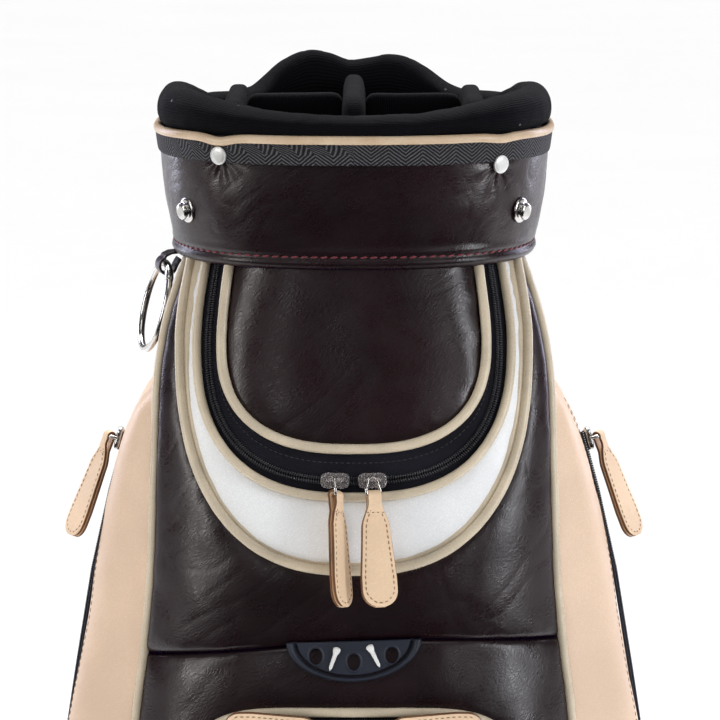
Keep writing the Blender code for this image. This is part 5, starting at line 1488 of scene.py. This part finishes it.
def make_stage(s):
    """A pale floor, soft lights on both sides, overhead and behind, a wide soft sky, a dark card that
    only reflections see, and the camera."""
    scene = bpy.context.scene
    r = Recipe("studio_floor")
    p = r.place()
    tone = r.mix(r.noise(p, 1.5, 3.0), (0.86, 0.86, 0.86, 1), (0.9, 0.9, 0.9, 1))
    Looks.of["floor"] = r.put(Base_Color=tone, Roughness=r.ramp(r.noise(p, 20.0), 0.3, 0.7, 0.85, 0.95))
    flat_sheet("studio_floor", 60, -30, 90, 0, "floor")

    r = Recipe("dark_card", Specular_IOR_Level=0.0)
    tone = r.mix(r.noise(r.place(), 5.0), (0.004, 0.004, 0.005, 1), (0.008, 0.008, 0.01, 1))
    Looks.of["card"] = r.put(Base_Color=tone)
    card = flat_sheet("dark_card", 7, -16, -0.45, 0.002, "card")
    card.visible_camera = card.visible_diffuse = card.visible_shadow = card.visible_transmission = False

    def area(name, spot, target, size, watts, colour=(1, 1, 1)):
        """A rectangular light at a spot, aimed at a target."""
        data = bpy.data.lights.new(name, "AREA")
        data.shape, data.energy, data.color = "RECTANGLE", watts, colour
        data.size, data.size_y = size
        lamp = bpy.data.objects.new(name, data)
        lamp.location = spot
        lamp.rotation_euler = (Vector(target) - Vector(spot)).to_track_quat("-Z", "Y").to_euler()
        scene.collection.objects.link(lamp)

    area("box_left", (-2.1, -1.1, 1.4), (0, -0.05, 0.6), (0.45, 1.5), s.left_power, (1.0, 0.97, 0.94))
    area("box_right", (2.1, -1.1, 1.3), (0, -0.05, 0.6), (0.45, 1.5), s.right_power, (0.95, 0.96, 1.0))
    area("strip_left", (-0.85, -2.3, 1.7), (0, -0.05, 0.7), (0.22, 1.0), s.strip_power)
    area("strip_right", (1.3, -2.1, 1.6), (0, -0.05, 0.7), (0.22, 1.0), s.strip_power * 1.3)
    area("box_top", (0.0, -0.6, 2.7), (0, 0, 0.7), (1.6, 1.1), s.top_power)
    area("rim_left", (-1.4, 1.1, 1.2), (0, 0, 0.6), (0.4, 1.4), s.rim_power, (0.8, 0.8, 1.0))
    area("rim_right", (1.4, 1.1, 1.2), (0, 0, 0.6), (0.4, 1.4), s.rim_power, (0.8, 0.8, 1.0))
    sun = bpy.data.lights.new("soft_sky", "SUN")
    sun.energy, sun.angle = s.sky_power, math.radians(30)
    lamp = bpy.data.objects.new("soft_sky", sun)
    lamp.rotation_euler = (math.radians(-32), 0, 0)
    scene.collection.objects.link(lamp)
    world = bpy.data.worlds.new("studio_world")
    world.use_nodes = True
    world.node_tree.nodes["Background"].inputs["Color"].default_value = (1, 1, 1, 1)
    world.node_tree.nodes["Background"].inputs["Strength"].default_value = s.world_power
    scene.world = world
    camera = bpy.data.cameras.new("camera")
    camera.lens, camera.sensor_width = s.lens, 36.0
    obj = bpy.data.objects.new("camera", camera)
    obj.location = (0.0038, -2.2, 1.0892)
    obj.rotation_euler = (math.radians(80.109), 0, 0)
    scene.collection.objects.link(obj)
    scene.camera = obj
    scene.view_settings.view_transform = "Standard"
    scene.view_settings.look = "None"


# ---- settings, operators and panel ---------------------------------------------------------
def mm(metres):
    """A size from the settings, in millimetres."""
    return round(metres / MM, 4)


def colour(name, about, value):
    """A colour that a user can change, given as linear red, green and blue."""
    return bpy.props.FloatVectorProperty(name=name, description=about, default=value[:3], size=3,
                                         subtype="COLOR", min=0, max=1)


def length(name, about, value):
    """A size that a user can change, given in millimetres and kept in metres."""
    return bpy.props.FloatProperty(name=name, description=about, default=value * MM, min=0, unit="LENGTH")


def power(name, about, value):
    """A light's power that a user can change, in watts."""
    return bpy.props.FloatProperty(name=name, description=about, default=value, min=0, unit="POWER")


class BagSizes(bpy.types.PropertyGroup):
    """Sizes of the bag's trim."""
    rim_cord: length("Rim cord", "Thickness of the cord under the padded rim", 5.8)
    rail_width: length("Rails", "Width of the padded rails from front to back", 14.5)
    webbing_width: length("Webbing", "Width of the band round the head of the collar", 13.4)
    ring_wire: length("Towel ring", "Thickness of the towel ring's wire", 4.6)
    handle_width: length("Handle", "Thickness of the carry handle", 18.0)


class BagColours(bpy.types.PropertyGroup):
    """Base colours of the finishes."""
    brown: colour("Brown leather", "Base colour of the dark leather", srgb(31, 13, 18))
    beige: colour("Beige leather", "Base colour of the side pockets", srgb(236, 206, 178))
    white: colour("White leather", "Base colour of the crescent", srgb(252, 254, 255))
    cord: colour("Cords", "Base colour of the seams' cords", srgb(205, 191, 167))
    knit: colour("Knit", "Base colour of the padded rim", srgb(17, 18, 27))
    pull: colour("Pulls", "Base colour of the zip pulls", srgb(248, 216, 180))
    rubber: colour("Rubber", "Base colour of the tee holder and the base", srgb(34, 40, 54))


class StageSettings(bpy.types.PropertyGroup):
    """The camera's lens and the lights."""
    lens: bpy.props.FloatProperty(name="Lens", description="Focal length of the camera", default=173.47,
                                  min=20, unit="CAMERA")
    left_power: power("Left light", "Power of the left soft light", 18)
    right_power: power("Right light", "Power of the right soft light", 25)
    strip_power: power("Strip lights", "Power of the narrow lights in front", 2.2)
    top_power: power("Top light", "Power of the light overhead", 9)
    rim_power: power("Rim lights", "Power of each light behind", 12)
    sky_power: bpy.props.FloatProperty(name="Sky", description="Strength of the wide soft light from above",
                                       default=3.8, min=0, subtype="FACTOR", soft_max=10)
    world_power: bpy.props.FloatProperty(name="Surroundings", description="Brightness of the room",
                                         default=0.08, min=0, subtype="FACTOR", soft_max=10)


class GOLFBAG_OT_materials(bpy.types.Operator):
    """Make every finish from the colours"""
    bl_idname = "golfbag.materials"
    bl_label = "Materials"

    def execute(self, context):
        make_materials(context.scene.bag_colours)
        return {"FINISHED"}


class GOLFBAG_OT_rim(bpy.types.Operator):
    """Make the knit rim and its cord"""
    bl_idname = "golfbag.rim"
    bl_label = "Padded rim"

    def execute(self, context):
        make_rim(context.scene.bag_sizes)
        return {"FINISHED"}


class GOLFBAG_OT_rails(bpy.types.Operator):
    """Make the padded bars between the clubs"""
    bl_idname = "golfbag.rails"
    bl_label = "Dividers"

    def execute(self, context):
        make_rails(context.scene.bag_sizes)
        return {"FINISHED"}


class GOLFBAG_OT_collar(bpy.types.Operator):
    """Make the leather collar and its stitches"""
    bl_idname = "golfbag.collar"
    bl_label = "Collar"

    def execute(self, context):
        make_collar()
        return {"FINISHED"}


class GOLFBAG_OT_webbing(bpy.types.Operator):
    """Make the band under the rim"""
    bl_idname = "golfbag.webbing"
    bl_label = "Webbing"

    def execute(self, context):
        make_webbing(context.scene.bag_sizes)
        return {"FINISHED"}


class GOLFBAG_OT_studs(bpy.types.Operator):
    """Make the snap studs and rivets"""
    bl_idname = "golfbag.studs"
    bl_label = "Studs"

    def execute(self, context):
        make_studs()
        return {"FINISHED"}


class GOLFBAG_OT_towel_ring(bpy.types.Operator):
    """Make the ring and its loop"""
    bl_idname = "golfbag.towel_ring"
    bl_label = "Towel ring"

    def execute(self, context):
        make_towel_ring(context.scene.bag_sizes)
        return {"FINISHED"}


class GOLFBAG_OT_flap(bpy.types.Operator):
    """Make the upper pocket's flap and cord"""
    bl_idname = "golfbag.flap"
    bl_label = "Flap"

    def execute(self, context):
        make_flap()
        return {"FINISHED"}


class GOLFBAG_OT_upper_zip(bpy.types.Operator):
    """Make the upper pocket's tapes and teeth"""
    bl_idname = "golfbag.upper_zip"
    bl_label = "Upper zip"

    def execute(self, context):
        make_upper_zip()
        return {"FINISHED"}


class GOLFBAG_OT_crescent(bpy.types.Operator):
    """Make the pale crescent and its cords"""
    bl_idname = "golfbag.crescent"
    bl_label = "Crescent"

    def execute(self, context):
        make_crescent()
        return {"FINISHED"}


class GOLFBAG_OT_front_panel(bpy.types.Operator):
    """Make the leather beside the crescent"""
    bl_idname = "golfbag.front_panel"
    bl_label = "Front panel"

    def execute(self, context):
        make_front_panel()
        return {"FINISHED"}


class GOLFBAG_OT_lower_pocket(bpy.types.Operator):
    """Make the lower pocket, its door and zip"""
    bl_idname = "golfbag.lower_pocket"
    bl_label = "Lower pocket"

    def execute(self, context):
        make_lower_pocket()
        return {"FINISHED"}


class GOLFBAG_OT_tee_holder(bpy.types.Operator):
    """Make the rubber plate and its pegs"""
    bl_idname = "golfbag.tee_holder"
    bl_label = "Tee holder"

    def execute(self, context):
        make_tee_holder()
        return {"FINISHED"}


class GOLFBAG_OT_front_pulls(bpy.types.Operator):
    """Make the front sliders and pulls"""
    bl_idname = "golfbag.front_pulls"
    bl_label = "Front pulls"

    def execute(self, context):
        make_front_pulls()
        return {"FINISHED"}


class GOLFBAG_OT_side_pockets(bpy.types.Operator):
    """Make both side pockets"""
    bl_idname = "golfbag.side_pockets"
    bl_label = "Side pockets"

    def execute(self, context):
        for side in (-1, 1):
            make_side(side)
        return {"FINISHED"}


class GOLFBAG_OT_side_pulls(bpy.types.Operator):
    """Make the side sliders and pulls"""
    bl_idname = "golfbag.side_pulls"
    bl_label = "Side pulls"

    def execute(self, context):
        make_side_pulls()
        return {"FINISHED"}


class GOLFBAG_OT_back(bpy.types.Operator):
    """Make the leather skin at the back"""
    bl_idname = "golfbag.back"
    bl_label = "Back"

    def execute(self, context):
        make_back()
        return {"FINISHED"}


class GOLFBAG_OT_handle(bpy.types.Operator):
    """Make the carry handle"""
    bl_idname = "golfbag.handle"
    bl_label = "Carry handle"

    def execute(self, context):
        make_handle(context.scene.bag_sizes)
        return {"FINISHED"}


class GOLFBAG_OT_strap(bpy.types.Operator):
    """Make the strap and its metal bars"""
    bl_idname = "golfbag.strap"
    bl_label = "Shoulder strap"

    def execute(self, context):
        make_strap()
        return {"FINISHED"}


class GOLFBAG_OT_base(bpy.types.Operator):
    """Make the rubber base"""
    bl_idname = "golfbag.base"
    bl_label = "Base"

    def execute(self, context):
        make_base()
        return {"FINISHED"}


class GOLFBAG_OT_inner_parts(bpy.types.Operator):
    """Give the inner parts their finish"""
    bl_idname = "golfbag.inner_parts"
    bl_label = "Inner parts"

    def execute(self, context):
        finish_frame()
        return {"FINISHED"}


class GOLFBAG_OT_stage(bpy.types.Operator):
    """Make the floor, lights and camera"""
    bl_idname = "golfbag.stage"
    bl_label = "Stage"

    def execute(self, context):
        make_stage(context.scene.bag_stage)
        return {"FINISHED"}


OPERATORS = (GOLFBAG_OT_materials, GOLFBAG_OT_rim, GOLFBAG_OT_rails, GOLFBAG_OT_collar,
             GOLFBAG_OT_webbing, GOLFBAG_OT_studs, GOLFBAG_OT_towel_ring, GOLFBAG_OT_flap,
             GOLFBAG_OT_upper_zip, GOLFBAG_OT_crescent, GOLFBAG_OT_front_panel,
             GOLFBAG_OT_lower_pocket, GOLFBAG_OT_tee_holder, GOLFBAG_OT_front_pulls,
             GOLFBAG_OT_side_pockets, GOLFBAG_OT_side_pulls, GOLFBAG_OT_back, GOLFBAG_OT_handle,
             GOLFBAG_OT_strap, GOLFBAG_OT_base, GOLFBAG_OT_inner_parts, GOLFBAG_OT_stage)


class GOLFBAG_PT_panel(bpy.types.Panel):
    """The golf bag's settings, and its pieces in the order they are made"""
    bl_label = "Golf bag"
    bl_idname = "GOLFBAG_PT_panel"
    bl_space_type = "VIEW_3D"
    bl_region_type = "UI"
    bl_category = "Golf bag"

    def draw(self, context):
        scene = context.scene
        for group in (scene.bag_sizes, scene.bag_colours, scene.bag_stage):
            for name in group.__annotations__:
                self.layout.prop(group, name)
        for operator in OPERATORS:
            self.layout.operator(operator.bl_idname)


CLASSES = (BagSizes, BagColours, StageSettings, *OPERATORS, GOLFBAG_PT_panel)


def register():
    """Adds the classes, and the settings to every scene."""
    for c in CLASSES:
        bpy.utils.register_class(c)
    bpy.types.Scene.bag_sizes = bpy.props.PointerProperty(type=BagSizes)
    bpy.types.Scene.bag_colours = bpy.props.PointerProperty(type=BagColours)
    bpy.types.Scene.bag_stage = bpy.props.PointerProperty(type=StageSettings)


def unregister():
    """Takes the settings and the classes away again."""
    del bpy.types.Scene.bag_stage
    del bpy.types.Scene.bag_colours
    del bpy.types.Scene.bag_sizes
    for c in reversed(CLASSES):
        bpy.utils.unregister_class(c)


def main():
    """Runs every operator in order."""
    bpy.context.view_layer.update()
    register()
    for operator in OPERATORS:
        getattr(bpy.ops.golfbag, operator.bl_idname.split(".")[1])()


if __name__ == "__main__":
    main()
